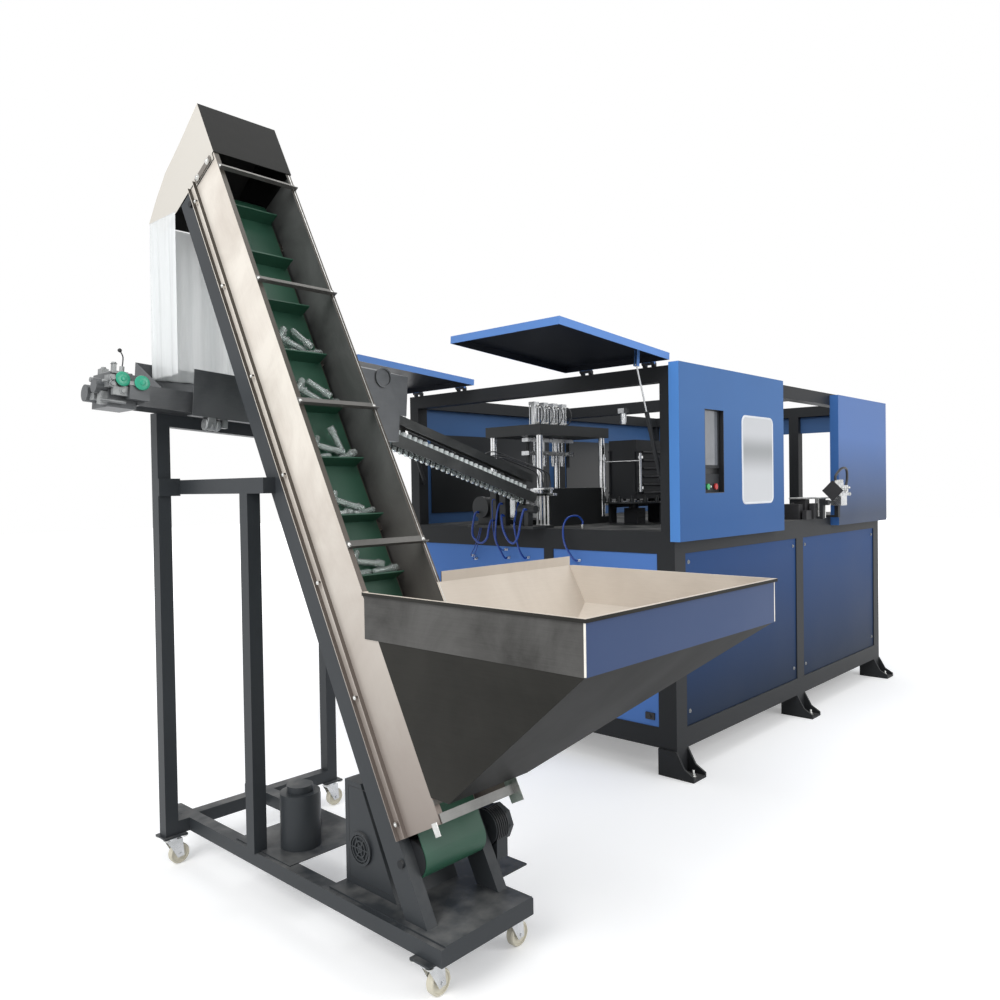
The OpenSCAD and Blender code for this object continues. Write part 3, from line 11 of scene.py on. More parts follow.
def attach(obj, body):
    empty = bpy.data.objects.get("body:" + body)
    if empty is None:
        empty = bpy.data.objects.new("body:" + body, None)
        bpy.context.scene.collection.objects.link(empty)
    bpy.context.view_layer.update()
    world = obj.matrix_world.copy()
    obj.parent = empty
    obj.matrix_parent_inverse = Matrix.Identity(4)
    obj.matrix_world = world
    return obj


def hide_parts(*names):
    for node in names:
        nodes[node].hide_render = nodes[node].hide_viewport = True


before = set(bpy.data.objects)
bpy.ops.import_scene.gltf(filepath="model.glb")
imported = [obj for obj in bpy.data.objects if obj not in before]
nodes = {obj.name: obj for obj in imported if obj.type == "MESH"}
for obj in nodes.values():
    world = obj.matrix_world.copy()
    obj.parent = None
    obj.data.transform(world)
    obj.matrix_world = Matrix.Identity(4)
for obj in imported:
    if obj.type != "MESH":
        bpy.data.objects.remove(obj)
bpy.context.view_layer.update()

# Camera. It stands at head height off the near corner, almost level, turned
# towards the machine's middle, with a moderately wide lens.
EYE = (-3.5157, -2.0931, 1.4270)
YAW, PITCH, ROLL = 47.417, -1.032, -0.886
SENSOR_MM = 36.0
FOCAL_PX, SHIFT_PX, PICTURE_PX = 832.6, 1.5, 1000

camera_data = bpy.data.cameras.new("camera")
camera_data.sensor_width = SENSOR_MM
camera_data.lens = FOCAL_PX * SENSOR_MM / PICTURE_PX
camera_data.shift_y = SHIFT_PX / PICTURE_PX
camera_data.clip_end = 100
camera = bpy.data.objects.new("camera", camera_data)
bpy.context.collection.objects.link(camera)
camera.matrix_world = (
    Matrix.Translation(EYE)
    @ Matrix.Rotation(math.radians(-YAW), 4, "Z")
    @ Matrix.Rotation(math.radians(90 + PITCH), 4, "X")
    @ Matrix.Rotation(math.radians(ROLL), 4, "Z")
)
bpy.context.scene.camera = camera
bpy.context.scene.view_settings.view_transform = "Standard"


# Floor and surroundings. A matt white studio floor and an even white room;
# the floor keeps the machine's shadow and shows white to the camera.
def feed(socket, value):
    """Gives a socket a source, or a value of its own."""
    if isinstance(value, bpy.types.NodeSocket):
        socket.id_data.links.new(value, socket)
    else:
        socket.default_value = value


def fill(sockets, **values):
    """Feeds sockets by name, with an underscore for a space."""
    for name, value in values.items():
        feed(sockets[name.replace("_", " ")], value)


def worked(operation, *values, kind="Math"):
    """Result of a Math or VectorMath operation on a socket and other values or sockets."""
    node = values[0].id_data.nodes.new("ShaderNode" + kind)
    node.operation = operation
    for socket, value in zip(node.inputs, values):
        feed(socket, value)
    return node.outputs["Value"] if operation in ("DOT_PRODUCT", "LENGTH") else node.outputs[0]


def mapped(value, low, high, to_low=0.0, to_high=1.0, way="LINEAR"):
    """A value carried from the range low to high to another range, and held inside it."""
    node = value.id_data.nodes.new("ShaderNodeMapRange")
    node.interpolation_type = way
    fill(node.inputs, Value=value, From_Min=low, From_Max=high, To_Min=to_low, To_Max=to_high)
    return node.outputs[0]


def own(tree, kind="Object"):
    """A piece's own coordinates, or its own normals."""
    return tree.nodes.new("ShaderNodeTexCoord").outputs[kind]


def seen_directly(tree):
    """A value of 1 for rays from the camera, from a mirror or through glass, else 0."""
    path = tree.nodes.new("ShaderNodeLightPath").outputs
    first = worked("MAXIMUM", path["Is Camera Ray"], path["Is Glossy Ray"])
    return worked("MAXIMUM", first, path["Is Transmission Ray"])


def mixed_shader(mask, first, second):
    """One shader where the mask is 0 and another where it is 1."""
    mix = mask.id_data.nodes.new("ShaderNodeMixShader")
    for socket, source in zip(mix.inputs, (mask, first, second)):
        feed(socket, source)
    return mix.outputs[0]


def new_material(name):
    """A new material, its tree and the sockets of its Principled shader."""
    material = bpy.data.materials.new(name)
    material.use_nodes = True
    tree = material.node_tree
    return material, tree, tree.nodes["Principled BSDF"].inputs


ROOM_LIGHT = 0.62
room = bpy.data.worlds.new("white_room")
room.use_nodes = True
bpy.context.scene.world = room
room_tree = room.node_tree
room_light = room_tree.nodes["Background"]
fill(room_light.inputs, Color=(0.96, 0.98, 1.0, 1), Strength=ROOM_LIGHT)
room_white = room_tree.nodes.new("ShaderNodeBackground")
fill(room_white.inputs, Color=(1, 1, 1, 1), Strength=1.0)
room_mix = mixed_shader(seen_directly(room_tree), room_light.outputs[0], room_white.outputs[0])
room_tree.links.new(room_mix, room_tree.nodes["World Output"].inputs["Surface"])

FLOOR_HALF, FLOOR_Z = 30.0, -0.001
GLOW_NEAR, GLOW_FAR = 3.0, 9.0
floor_mesh = bpy.data.meshes.new("studio_floor")
floor_mesh.from_pydata([(x * FLOOR_HALF, y * FLOOR_HALF, FLOOR_Z) for x, y in ((-1, -1), (1, -1), (1, 1), (-1, 1))],
                       [], [(0, 1, 2, 3)])
studio_floor = bpy.data.objects.new("studio_floor", floor_mesh)
bpy.context.collection.objects.link(studio_floor)
floor_paint, floor_tree, floor_sockets = new_material("studio_floor")
fill(floor_sockets, Base_Color=(0.86, 0.86, 0.86, 1), Roughness=0.9)
floor_matt = floor_tree.nodes["Principled BSDF"].outputs[0]
floor_glow = floor_tree.nodes.new("ShaderNodeEmission")
floor_reach = worked("LENGTH", own(floor_tree), kind="VectorMath")
fill(floor_glow.inputs, Strength=mapped(floor_reach, GLOW_NEAR, GLOW_FAR, 0.30, 1.0))
floor_add = floor_tree.nodes.new("ShaderNodeAddShader")
floor_tree.links.new(floor_matt, floor_add.inputs[0])
floor_tree.links.new(floor_glow.outputs[0], floor_add.inputs[1])
floor_mix = mixed_shader(seen_directly(floor_tree), floor_matt, floor_add.outputs[0])
floor_tree.links.new(floor_mix, floor_tree.nodes["Material Output"].inputs["Surface"])
floor_mesh.materials.append(floor_paint)


# Lamps. One large soft key from the infeed side above the camera, one weaker
# fill from the operator's side, and one over the roof.
def soft_lamp(name, place, target, size, power):
    """A square area lamp at a place, facing a target point."""
    data = bpy.data.lights.new(name, "AREA")
    data.size = size
    data.energy = power
    lamp = bpy.data.objects.new(name, data)
    bpy.context.collection.objects.link(lamp)
    lamp.location = place
    lamp.rotation_euler = (Vector(target) - Vector(place)).to_track_quat("-Z", "Y").to_euler()


soft_lamp("key_lamp", (-6.5, -1.0, 4.6), (-0.5, 0.6, 1.0), 3.2, 240)
soft_lamp("fill_lamp", (1.5, -6.0, 4.2), (0.8, 0.0, 1.0), 3.5, 170)
soft_lamp("roof_lamp", (0.5, 1.0, 6.5), (0.5, 1.0, 0.0), 4.0, 130)


# Black frame. Welded square steel tube under a black powder coat, with the
# fine pebbling of the powder and a little dust along it; the feet are alike.
def new_group(name, inputs, outputs):
    """A shader group with named sockets: its tree, what it is given and what it gives."""
    group = bpy.data.node_groups.new(name, "ShaderNodeTree")
    for way, sockets in (("INPUT", inputs), ("OUTPUT", outputs)):
        for socket, kind in sockets.items():
            group.interface.new_socket(name=socket, in_out=way, socket_type="NodeSocket" + kind)
    return group, group.nodes.new("NodeGroupInput").outputs, group.nodes.new("NodeGroupOutput").inputs


def noise(tree, scale, detail, roughness=0.5, distortion=0.0, at=None):
    """A noise over a piece's own coordinates, or over those given."""
    node = tree.nodes.new("ShaderNodeTexNoise")
    fill(node.inputs, Scale=scale, Detail=detail, Roughness=roughness, Distortion=distortion,
         Vector=own(tree) if at is None else at)
    return node.outputs["Fac"]


def upright(vector):
    """The Z part of a vector."""
    parts = vector.id_data.nodes.new("ShaderNodeSeparateXYZ")
    feed(parts.inputs[0], vector)
    return parts.outputs["Z"]


def powder_pebbling():
    """Height of the powder's fine pebbles and a mask of slow tone change, from two noises."""
    group, given, gives = new_group("powder_pebbling", {"Pebble Scale": "Float", "Cloud Scale": "Float"},
                                    {"Height": "Float", "Cloud": "Float"})
    fill(gives, Height=noise(group, given["Pebble Scale"], 1.0), Cloud=noise(group, given["Cloud Scale"], 4.0))
    return group


def dust_on_top():
    """A mask of dust: how far a face looks up, broken by a noise."""
    group, given, gives = new_group("dust_on_top", {"Amount": "Float"}, {"Dust": "Float"})
    normal = group.nodes.new("ShaderNodeNewGeometry").outputs["Normal"]
    lying = worked("MULTIPLY", mapped(upright(normal), 0.3, 1.0),
                   mapped(noise(group, 9.0, 6.0), 0.42, 0.68))
    fill(gives, Dust=worked("MULTIPLY", lying, given["Amount"]))
    return group


SQUARE_ON = 0.9


def facing_way():
    """Masks of 1 where a face looks along an axis either way, and where it looks down that axis only."""
    group, given, gives = new_group("facing_way", {"Axis": "Vector"}, {"Facing": "Float", "Towards": "Float"})
    meeting = worked("DOT_PRODUCT", own(group, "Normal"), given["Axis"], kind="VectorMath")
    fill(gives, Facing=worked("GREATER_THAN", worked("ABSOLUTE", meeting), SQUARE_ON),
         Towards=worked("GREATER_THAN", meeting, SQUARE_ON))
    return group


def inner_side():
    """A mask that is 1 where a face looks towards a centre, measured only along the given axes."""
    group, given, gives = new_group("inner_side", {"Centre": "Vector", "Axes": "Vector"}, {"Inside": "Float"})
    away = worked("SUBTRACT", own(group), given["Centre"], kind="VectorMath")
    chosen = worked("MULTIPLY", away, given["Axes"], kind="VectorMath")
    meeting = worked("DOT_PRODUCT", chosen, own(group, "Normal"), kind="VectorMath")
    fill(gives, Inside=worked("LESS_THAN", meeting, 0.0))
    return group


POWDER, DUST, FACING, INNER = powder_pebbling(), dust_on_top(), facing_way(), inner_side()


def place_group(tree, group, **values):
    """Puts a shader group into a material with its own values, and gives its outputs."""
    node = tree.nodes.new("ShaderNodeGroup")
    node.node_tree = group
    fill(node.inputs, **values)
    return node.outputs


COLOUR_A, COLOUR_B, COLOUR_OUT = 6, 7, 2


def mixed_colour(mask, first, second):
    """Colour between two, by a mask; each may be a colour or a socket."""
    mix = mask.id_data.nodes.new("ShaderNodeMix")
    mix.data_type = "RGBA"
    feed(mix.inputs["Factor"], mask)
    for index, value in ((COLOUR_A, first), (COLOUR_B, second)):
        feed(mix.inputs[index], value if isinstance(value, bpy.types.NodeSocket) else (*value, 1))
    return mix.outputs[COLOUR_OUT]


def raised(height, strength, distance):
    """Bump normal of a height."""
    bump = height.id_data.nodes.new("ShaderNodeBump")
    fill(bump.inputs, Strength=strength, Distance=distance, Height=height)
    return bump.outputs["Normal"]


def deepened(tone, low, high, colour):
    """A tone that turns to a colour from the height high down to low."""
    return mixed_colour(mapped(upright(own(tone.id_data)), high, low), tone, colour)


DUST_TONE = (0.42, 0.41, 0.39)


def powder_coat(name, dark, light, roughness, dust=0.25, pebble=900.0, inner=None, fade=None,
                facing=None, shine=0.22):
    """Powder-coated steel: pebbled gloss, slow tone change, dust where it looks up.

    inner gives (colour, centre) of the faces that look towards the centre, which are painted
    that colour as shade. fade gives (low, high, colour): the tone turns to colour from the
    height high down to low, a painted shade. facing gives (colour, axis) of faces along one
    axis, painted that colour to stand in for the light and shade that fall on them. shine is the specular level.
    """
    material, tree, paint = new_material(name)
    powder = place_group(tree, POWDER, Pebble_Scale=pebble, Cloud_Scale=2.2)
    tone = mixed_colour(powder["Cloud"], dark, light)
    if inner:
        side = place_group(tree, INNER, Centre=inner[1], Axes=(1, 1, 1))
        tone = mixed_colour(side["Inside"], tone, inner[0])
    if fade:
        tone = deepened(tone, *fade)
    if facing:
        tone = mixed_colour(place_group(tree, FACING, Axis=facing[1])["Facing"], tone, facing[0])
    dusty = place_group(tree, DUST, Amount=dust)["Dust"]
    fill(paint, Base_Color=mixed_colour(dusty, tone, DUST_TONE), Specular_IOR_Level=shine,
         Roughness=mapped(powder["Cloud"], 0, 1, roughness - 0.06, roughness + 0.1),
         Normal=raised(powder["Height"], 0.12, 0.0004))
    return material


def dress(material, *names):
    """Gives CAD nodes a material in place of their own."""
    for name in names:
        for slot in nodes[name].material_slots:
            slot.material = material


black_powder = powder_coat("black_powder_coat", (0.018, 0.019, 0.021), (0.029, 0.031, 0.033), 0.46, 0.2,
                           shine=0.13)
dress(black_powder, "base_frame", "upper_frame", "feet", "outlet_base")


# Blue covers. Folded steel sheet in a bright mid-blue coat, smooth enough to
# throw soft highlights; the doors and panels are bent from single sheets.
ALONG_X, DOWN_Y = (1, 0, 0), (0, -1, 0)
COVER_PEBBLE = 700.0
dress(powder_coat("blue_powder_coat", (0.040, 0.100, 0.235), (0.053, 0.124, 0.285), 0.42, 0.12, COVER_PEBBLE),
      "rear_covers")
# The operator's cover is painted darker towards its foot as shade, and its faces along X are painted lighter as lit
# faces.
cover_powder = powder_coat("cover_powder_coat", (0.047, 0.128, 0.315), (0.060, 0.155, 0.370), 0.42, 0.12,
                           COVER_PEBBLE, fade=(1.25, 1.80, (0.022, 0.092, 0.270)),
                           facing=((0.085, 0.250, 0.620), ALONG_X), shine=0.16)
dress(cover_powder, "operator_cover")
# The outlet cover is painted darker towards its foot and on its faces along X, as shade.
dress(powder_coat("far_cover_powder_coat", (0.086, 0.168, 0.400), (0.102, 0.192, 0.440), 0.42, 0.12, COVER_PEBBLE,
                  fade=(1.20, 1.72, (0.030, 0.048, 0.095)), facing=((0.045, 0.135, 0.370), ALONG_X), shine=0.16),
      "outlet_cover")
# The doors' faces that look in towards their middle, their undersides, are painted near black as shade.
UNDERSIDE_SHADE = (0.006, 0.008, 0.013)
for door, middle_y in (("door_1", 0.319), ("door_2", 1.625)):
    dress(powder_coat(door + "_powder_coat", (0.105, 0.235, 0.560), (0.125, 0.270, 0.630), 0.42, 0.05,
                      COVER_PEBBLE, inner=(UNDERSIDE_SHADE, (-0.444, middle_y, 2.059))), door)
# The lower panels are painted dark navy as shade, lighter blue on their faces along X as lit faces, and darker still
# towards the floor as shade.
dress(powder_coat("panel_powder_coat", (0.014, 0.048, 0.150), (0.020, 0.062, 0.185), 0.44, 0.10, COVER_PEBBLE,
                  fade=(0.22, 1.00, (0.007, 0.017, 0.040)), facing=((0.090, 0.205, 0.530), ALONG_X), shine=0.08),
      "lower_panels")


# Window and operator's panel. A frosted pane behind the cover's opening, and
# a recessed black plate that carries the screen and two push buttons.
def clouded(name, dark, light, pebble, cloud, strength, depth, **values):
    """A pebbled face with a slow cloud between two tones, and other values of the shader."""
    material, tree, body = new_material(name)
    powder = place_group(tree, POWDER, Pebble_Scale=pebble, Cloud_Scale=cloud)
    fill(body, Base_Color=mixed_colour(powder["Cloud"], dark, light),
         Normal=raised(powder["Height"], strength, depth), **values)
    return material


def moulded_plastic(name, colour, roughness, grain=1600.0):
    """Moulded plastic: a fine even grain over one colour with a faint cloud."""
    shade = tuple(0.86 * c for c in colour)
    return clouded(name, shade, colour, grain, 6.0, 0.08, 0.0002, Roughness=roughness)


dress(moulded_plastic("frosted_pane", (0.56, 0.58, 0.63), 0.42), "window")
dress(powder_coat("panel_grey_coat", (0.020, 0.022, 0.025), (0.034, 0.036, 0.040), 0.45), "control_panel")
dress(moulded_plastic("green_button_plastic", (0.03, 0.42, 0.12), 0.25), "start_button")
dress(moulded_plastic("red_button_plastic", (0.55, 0.03, 0.03), 0.25), "stop_button")


# Stainless sheet of the elevator, hopper and trays. Cold-rolled sheet with a
# fine lengthwise grain, folded edges, cloudy handling marks and oily smears.
def sheet_grain():
    """Fine grain lines along one axis: a noise squeezed across and drawn out along it."""
    group, given, gives = new_group("sheet_grain", {"Stretch": "Vector", "Turn": "Vector", "Smear Scale": "Float"},
                                    {"Grain": "Float", "Smear": "Float"})
    mapping = group.nodes.new("ShaderNodeMapping")
    fill(mapping.inputs, Vector=own(group), Rotation=given["Turn"])
    stretched = worked("MULTIPLY", mapping.outputs[0], given["Stretch"], kind="VectorMath")
    fill(gives, Grain=noise(group, 60.0, 3.0, at=stretched),
         Smear=noise(group, given["Smear Scale"], 7.0, 0.62, 0.6))
    return group


GRAIN = sheet_grain()


def sheet_steel(name, dull, bright, roughness, stretch, turn=(0, 0, 0), smear=3.0, metallic=0.9,
                inner=None, facing=None, darker_below=None, shine=0.3):
    """Stainless sheet: grain lines in tone, gloss and height, under cloudy smears.

    inner gives (dull, bright, centre, axes) of the side that looks inwards, and facing
    (colour, axis, way) of faces along one axis: other tones painted there to stand in for light, shade and
    reflection. darker_below gives (low, high, colour): the tone turns to colour from the height high down to low.
    shine is the specular level.
    """
    material, tree, steel = new_material(name)
    grain = place_group(tree, GRAIN, Stretch=stretch, Turn=turn, Smear_Scale=smear)
    lined = worked("MULTIPLY_ADD", grain["Grain"], 0.35, mapped(grain["Smear"], 0.32, 0.68))
    tone = mixed_colour(lined, dull, bright)
    if facing:
        tone = mixed_colour(place_group(tree, FACING, Axis=facing[1])[facing[2]], tone, facing[0])
    if inner:
        side = place_group(tree, INNER, Centre=inner[2], Axes=inner[3])
        tone = mixed_colour(side["Inside"], tone, mixed_colour(lined, inner[0], inner[1]))
    if darker_below:
        tone = deepened(tone, *darker_below)
    fill(steel, Base_Color=tone, Specular_IOR_Level=shine, Metallic=metallic,
         Roughness=mapped(grain["Smear"], 0, 1, roughness - 0.08, roughness + 0.14),
         Normal=raised(grain["Grain"], 0.10, 0.0003))
    return material


INCLINE = math.radians(62)
slope_across = np.array((1.0, 0, 0))
slope_up = np.array((0, math.cos(INCLINE), math.sin(INCLINE)))
slope_out = np.array((0, -math.sin(INCLINE), math.cos(INCLINE)))
TROUGH_WAY = (0, -0.62, -0.785)
ELEVATOR_MIDDLE = (-1.7875, 0, 0)
HOPPER_MIDDLE = (-1.45, -0.45, 1.35)
LENGTHWISE, UPWARDS = (0.2, 6, 6), (0.2, 0.2, 6)
# Painted shade: the walls' inner faces and their faces along slope_out are painted dark. The walls also turn darker
# towards the bottom.
dress(sheet_steel("elevator_sheet", (0.56, 0.50, 0.44), (0.77, 0.72, 0.65), 0.42, (6, 0.15, 6), (-INCLINE, 0, 0),
                  metallic=0.35, inner=((0.070, 0.074, 0.070), (0.145, 0.150, 0.145), ELEVATOR_MIDDLE, ALONG_X),
                  facing=((0.060, 0.053, 0.044), slope_out, "Facing"), darker_below=(0.35, 1.60, (0.22, 0.185, 0.165))),
      "elevator_walls")
dress(sheet_steel("strap_sheet", (0.075, 0.073, 0.068), (0.15, 0.146, 0.138), 0.38, LENGTHWISE, metallic=0.6),
      "cross_straps")
# Painted light and shade: the hood's faces along X are painted bright as lit faces, and its inner faces are painted
# darker as shade.
dress(sheet_steel("hood_sheet", (0.012, 0.012, 0.0115), (0.022, 0.022, 0.021), 0.52, (6, 0.2, 6), (-INCLINE, 0, 0),
                  metallic=0.0, inner=((0.006, 0.006, 0.006), (0.010, 0.010, 0.010), ELEVATOR_MIDDLE, ALONG_X),
                  facing=((0.60, 0.57, 0.52), ALONG_X, "Facing"), shine=0.06), "hood")
# Painted shade: the hopper's outside is painted near black, and darker still on the faces that look down towards the
# front; its inside keeps a pale steel tone.
dress(sheet_steel("hopper_sheet", (0.018, 0.0175, 0.016), (0.034, 0.033, 0.030), 0.42, UPWARDS, smear=1.2,
                  metallic=0.0, inner=((0.46, 0.40, 0.34), (0.62, 0.56, 0.49), HOPPER_MIDDLE, (1, 1, 1)),
                  facing=((0.008, 0.008, 0.0075), TROUGH_WAY, "Towards"), shine=0.04), "hopper")
dress(sheet_steel("tray_sheet", (0.07, 0.075, 0.08), (0.13, 0.135, 0.14), 0.42, LENGTHWISE, metallic=0.5),
      "preform_tray", "unscrambler_deck")
dress(sheet_steel("roller_steel", (0.32, 0.33, 0.34), (0.55, 0.56, 0.57), 0.30, LENGTHWISE), "roller_1", "roller_2")
dress(sheet_steel("rail_steel", (0.035, 0.037, 0.036), (0.085, 0.088, 0.085), 0.34, LENGTHWISE, metallic=0.3),
      "infeed_rail")


# Belt and drums. Dark green belting with a fine print on its face, rubbed in
# clouds, and cleats welded across it; the drums are coated steel.
dress(clouded("green_belting", (0.010, 0.056, 0.034), (0.022, 0.092, 0.052), 420.0, 5.0, 0.25, 0.0005,
              Roughness=0.48), "belt")
dress(black_powder, "head_drum", "tail_drum")


# Stand, control box and gearmotor. Square tube on casters, a folded box with
# a fan, and a cast gearmotor, all in one charcoal coat.
dress(powder_coat("charcoal_powder_coat", (0.024, 0.027, 0.030), (0.042, 0.047, 0.052), 0.42),
      "stand_frame", "control_box", "gearmotor")


# Bright hardware and dark machine parts. Ground steel forks, rods, slides and
# chain wheels, and the coated press, deck and oven that carry them.
bright_steel = sheet_steel("ground_steel", (0.40, 0.41, 0.42), (0.66, 0.67, 0.68), 0.24, (3, 3, 0.3), smear=8.0)
dress(bright_steel, "fork_1", "fork_2", "fork_3", "fork_4", "strut_rod_1", "strut_rod_2", "stretch_cylinders",
      "stretch_bar", "stretch_rods", "nozzle_bar", "sprocket_1", "sprocket_2", "air_filter", "mould_front",
      "mould_rear", "outlet_arm")
dress(powder_coat("press_grey_coat", (0.022, 0.024, 0.025), (0.045, 0.047, 0.048), 0.40), "press_frame",
      "loading_station", "spindle_chain")
dress(powder_coat("deck_grey_coat", (0.018, 0.020, 0.020), (0.036, 0.038, 0.038), 0.50), "deck")
dress(powder_coat("oven_black_coat", (0.012, 0.013, 0.015), (0.028, 0.030, 0.033), 0.46), "oven_housing",
      "strut_body_1", "strut_body_2")
dress(moulded_plastic("caster_plastic", (0.66, 0.62, 0.50), 0.5), "wheel_1", "wheel_2", "wheel_3", "wheel_4")


# Preforms. Injection-moulded clear bottle blanks with a threaded neck, thick
# walled and open at the top; they hang by the neck ring on the rail and lie in
# heaps on the belt's cleats.
MM = 0.001


def grid_faces(rows, columns, round_rows=False, round_columns=False, flip=False):
    """Four-sided faces between the points of a grid, closed round where asked."""
    row = np.arange(rows if round_rows else rows - 1)[:, None]
    column = np.arange(columns if round_columns else columns - 1)[None, :]
    below, beside = (row + 1) % rows, (column + 1) % columns
    ring = [row * columns + column, below * columns + column, below * columns + beside, row * columns + beside]
    return np.stack(ring[:1] + ring[:0:-1] if flip else ring, axis=-1).reshape(-1, 4)


def turned(outline, sides):
    """Surface of revolution: outline points (radius, height) in millimetres carried round Z in even steps."""
    outline = np.asarray(outline, float) * MM
    turn = np.arange(sides) * 2 * np.pi / sides
    points = np.stack([np.outer(np.cos(turn), outline[:, 0]), np.outer(np.sin(turn), outline[:, 0]),
                       np.tile(outline[:, 1], (sides, 1))], axis=-1)
    return points.reshape(-1, 3), grid_faces(sides, len(outline), round_rows=True)


def aimed(shape, place, heading):
    """Carries a shape from the origin to a place, with its own Z turned to a heading."""
    up = np.asarray(heading, float)
    up = up / np.linalg.norm(up)
    across = np.cross((0.0, 0.0, 1.0) if abs(up[2]) < 0.9 else (1.0, 0.0, 0.0), up)
    across = across / np.linalg.norm(across)
    return shape[0] @ np.array((across, np.cross(up, across), up)) + np.asarray(place, float), shape[1]


WELD = 2e-6


def build_piece(name, shapes, material, slot, sharp=35.0, bevel=0.0, body="machine"):
    """One object from several shapes: touching ends welded, smooth but for sharp edges, riding on a body."""
    starts = np.cumsum([0] + [len(points) for points, faces in shapes[:-1]])
    points = np.concatenate([points for points, faces in shapes])
    faces = np.concatenate([faces + start for (_, faces), start in zip(shapes, starts)])
    mesh = bpy.data.meshes.new(name)
    mesh.from_pydata(points.tolist(), [], faces.tolist())
    welded = bmesh.new()
    welded.from_mesh(mesh)
    bmesh.ops.remove_doubles(welded, verts=welded.verts, dist=WELD)
    welded.to_mesh(mesh)
    welded.free()
    mesh.shade_smooth()
    mesh.set_sharp_from_angle(angle=math.radians(sharp))
    mesh.materials.append(material)
    made = bpy.data.objects.new(name, mesh)
    bpy.context.collection.objects.link(made)
    if bevel:
        rounding = made.modifiers.new("rounding", "BEVEL")
        rounding.width = bevel
        rounding.segments = 2
        rounding.limit_method = "ANGLE"
    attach(made, body)
    return made


PREFORM_SIDES = 20
dome = np.linspace(0, np.pi / 2, 7)
outer_tip = [(11 * math.sin(a), -72 - 11 * math.cos(a)) for a in dome]
inner_tip = [(7.4 * math.sin(a), -72 - 6.6 * math.cos(a)) for a in dome[::-1]]
preform_outline = (
    outer_tip + [(11, -14), (11.5, -3), (13, 0.2), (16.8, 0.5), (17, 2), (16.6, 3.2), (12.6, 3.8), (12.2, 6.5),
                 (13.6, 8), (13.6, 9), (12.2, 9.8), (12.2, 12), (13.3, 12.8), (13.3, 13.6), (12.2, 14.6),
                 (12.2, 17), (13.3, 17.8), (13.3, 18.6), (12.2, 19.6), (12.0, 23.4), (11.5, 24),
                 (10.7, 24), (10.3, 22.5), (10.1, 4), (9.2, -5), (7.6, -16)] + inner_tip)
preform_blank = turned(preform_outline, PREFORM_SIDES)
CLEARNESS = 0.86


def glassy_plastic(name, tint, cloudiness, white_above=None):
    """Clear moulded plastic: thick, glass-like, with a slow cloud in its gloss and faint flow waves.

    white_above gives (place, direction): past that place, along that direction, it is opaque white.
    """
    material, tree, body = new_material(name)
    powder = place_group(tree, POWDER, Pebble_Scale=90.0, Cloud_Scale=20.0)
    clear = CLEARNESS
    if white_above:
        limit = float(np.dot(*white_above))
        rise = worked("DOT_PRODUCT", own(tree), tuple(white_above[1]), kind="VectorMath")
        clear = mapped(rise, limit, limit + 0.0004, CLEARNESS, 0.0)
    fill(body, Base_Color=mixed_colour(powder["Cloud"], tint, (0.97, 0.99, 0.98)),
         Transmission_Weight=clear, IOR=1.5, Roughness=mapped(powder["Cloud"], 0, 1, 0.04, cloudiness),
         Normal=raised(powder["Height"], 0.15, 0.0006))
    return material


def in_axes(at, axes, *place):
    """A place in a part's own axes, given in millimetres."""
    return at + np.array(place, float) @ axes * MM


clear_plastic = glassy_plastic("clear_preform", (0.86, 0.94, 0.92), 0.16)
RAIL_FALL = math.radians(16.4)
rail_down = np.array((math.cos(RAIL_FALL), 0, -math.sin(RAIL_FALL)))
rail_up = np.array((math.sin(RAIL_FALL), 0, math.cos(RAIL_FALL)))
RAIL = np.array((-1.030, 0.900, 1.694)), np.array((rail_down, (0, 1, 0), rail_up))
FIRST_PREFORM, PREFORM_PITCH, PREFORMS = 34, 36, 28
hanging = [aimed(preform_blank, in_axes(*RAIL, FIRST_PREFORM + PREFORM_PITCH * i, 0, 0), rail_up)
           for i in range(PREFORMS)]
white_necked = glassy_plastic("white_necked_preform", (0.80, 0.88, 0.87), 0.16, (RAIL[0], rail_up))
queue = build_piece("preform_queue", hanging, white_necked, "clear_pet", 50)
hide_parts("rail_preforms")

SLOPE = np.array((-1.950, -0.242, 0.389)), np.array((slope_across, slope_up, slope_out))
CLEAT_START, CLEAT_PITCH, HEAPED_CLEATS = 148, 220, range(3, 8)
BELT_FACE, BELT_LEFT = 43.3, 28
HEAP_FEWEST, HALF_LENGTH = 4, 0.030
SEED = 11
draw = np.random.default_rng(SEED)
heap = []
lie = [(95, 19, 19, 0.05, 0.04), (205, 24, 19, 0.20, 0.06), (150, 54, 20, -0.35, 0.10),
       (90, 66, 24, 0.95, 0.22), (184, 82, 30, -1.05, 0.30), (125, 92, 34, 0.45, 0.24)]
for cleat in HEAPED_CLEATS:
    foot = CLEAT_START + cleat * CLEAT_PITCH
    for across, up, out, swing, lift in lie[: HEAP_FEWEST + int(draw.integers(0, 3))]:
        swing += draw.uniform(-0.16, 0.16)
        flip = 1 if draw.random() < 0.5 else -1
        heading = flip * (slope_across * math.cos(swing) + slope_up * math.sin(swing)) + slope_out * lift
        centre = in_axes(*SLOPE, BELT_LEFT + across, foot + up, BELT_FACE + out)
        heap.append(aimed(preform_blank, centre + heading / np.linalg.norm(heading) * HALF_LENGTH, heading))
lying = build_piece("preform_heap", heap, clear_plastic, "clear_pet", 50)
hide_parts("belt_preforms")


# Air hoses. Soft blue tube pushed into collars at both ends, looping out over
# the end's sill and hanging under its own weight.
def smooth_run(marks, steps):
    """Cubic curve through given marks, heading at each half way from the mark before to the mark after."""
    marks = np.asarray(marks, float)
    last = len(marks) - 1
    place = np.linspace(0, last, steps + 1)
    index = np.minimum(place.astype(int), last - 1)
    t = (place - index)[:, None]
    a, b = marks[np.maximum(index - 1, 0)], marks[index]
    c, d = marks[index + 1], marks[np.minimum(index + 2, last)]
    return 0.5 * (2 * b + (c - a) * t + (2 * a - 5 * b + 4 * c - d) * t ** 2 + (3 * b - a - 3 * c + d) * t ** 3)


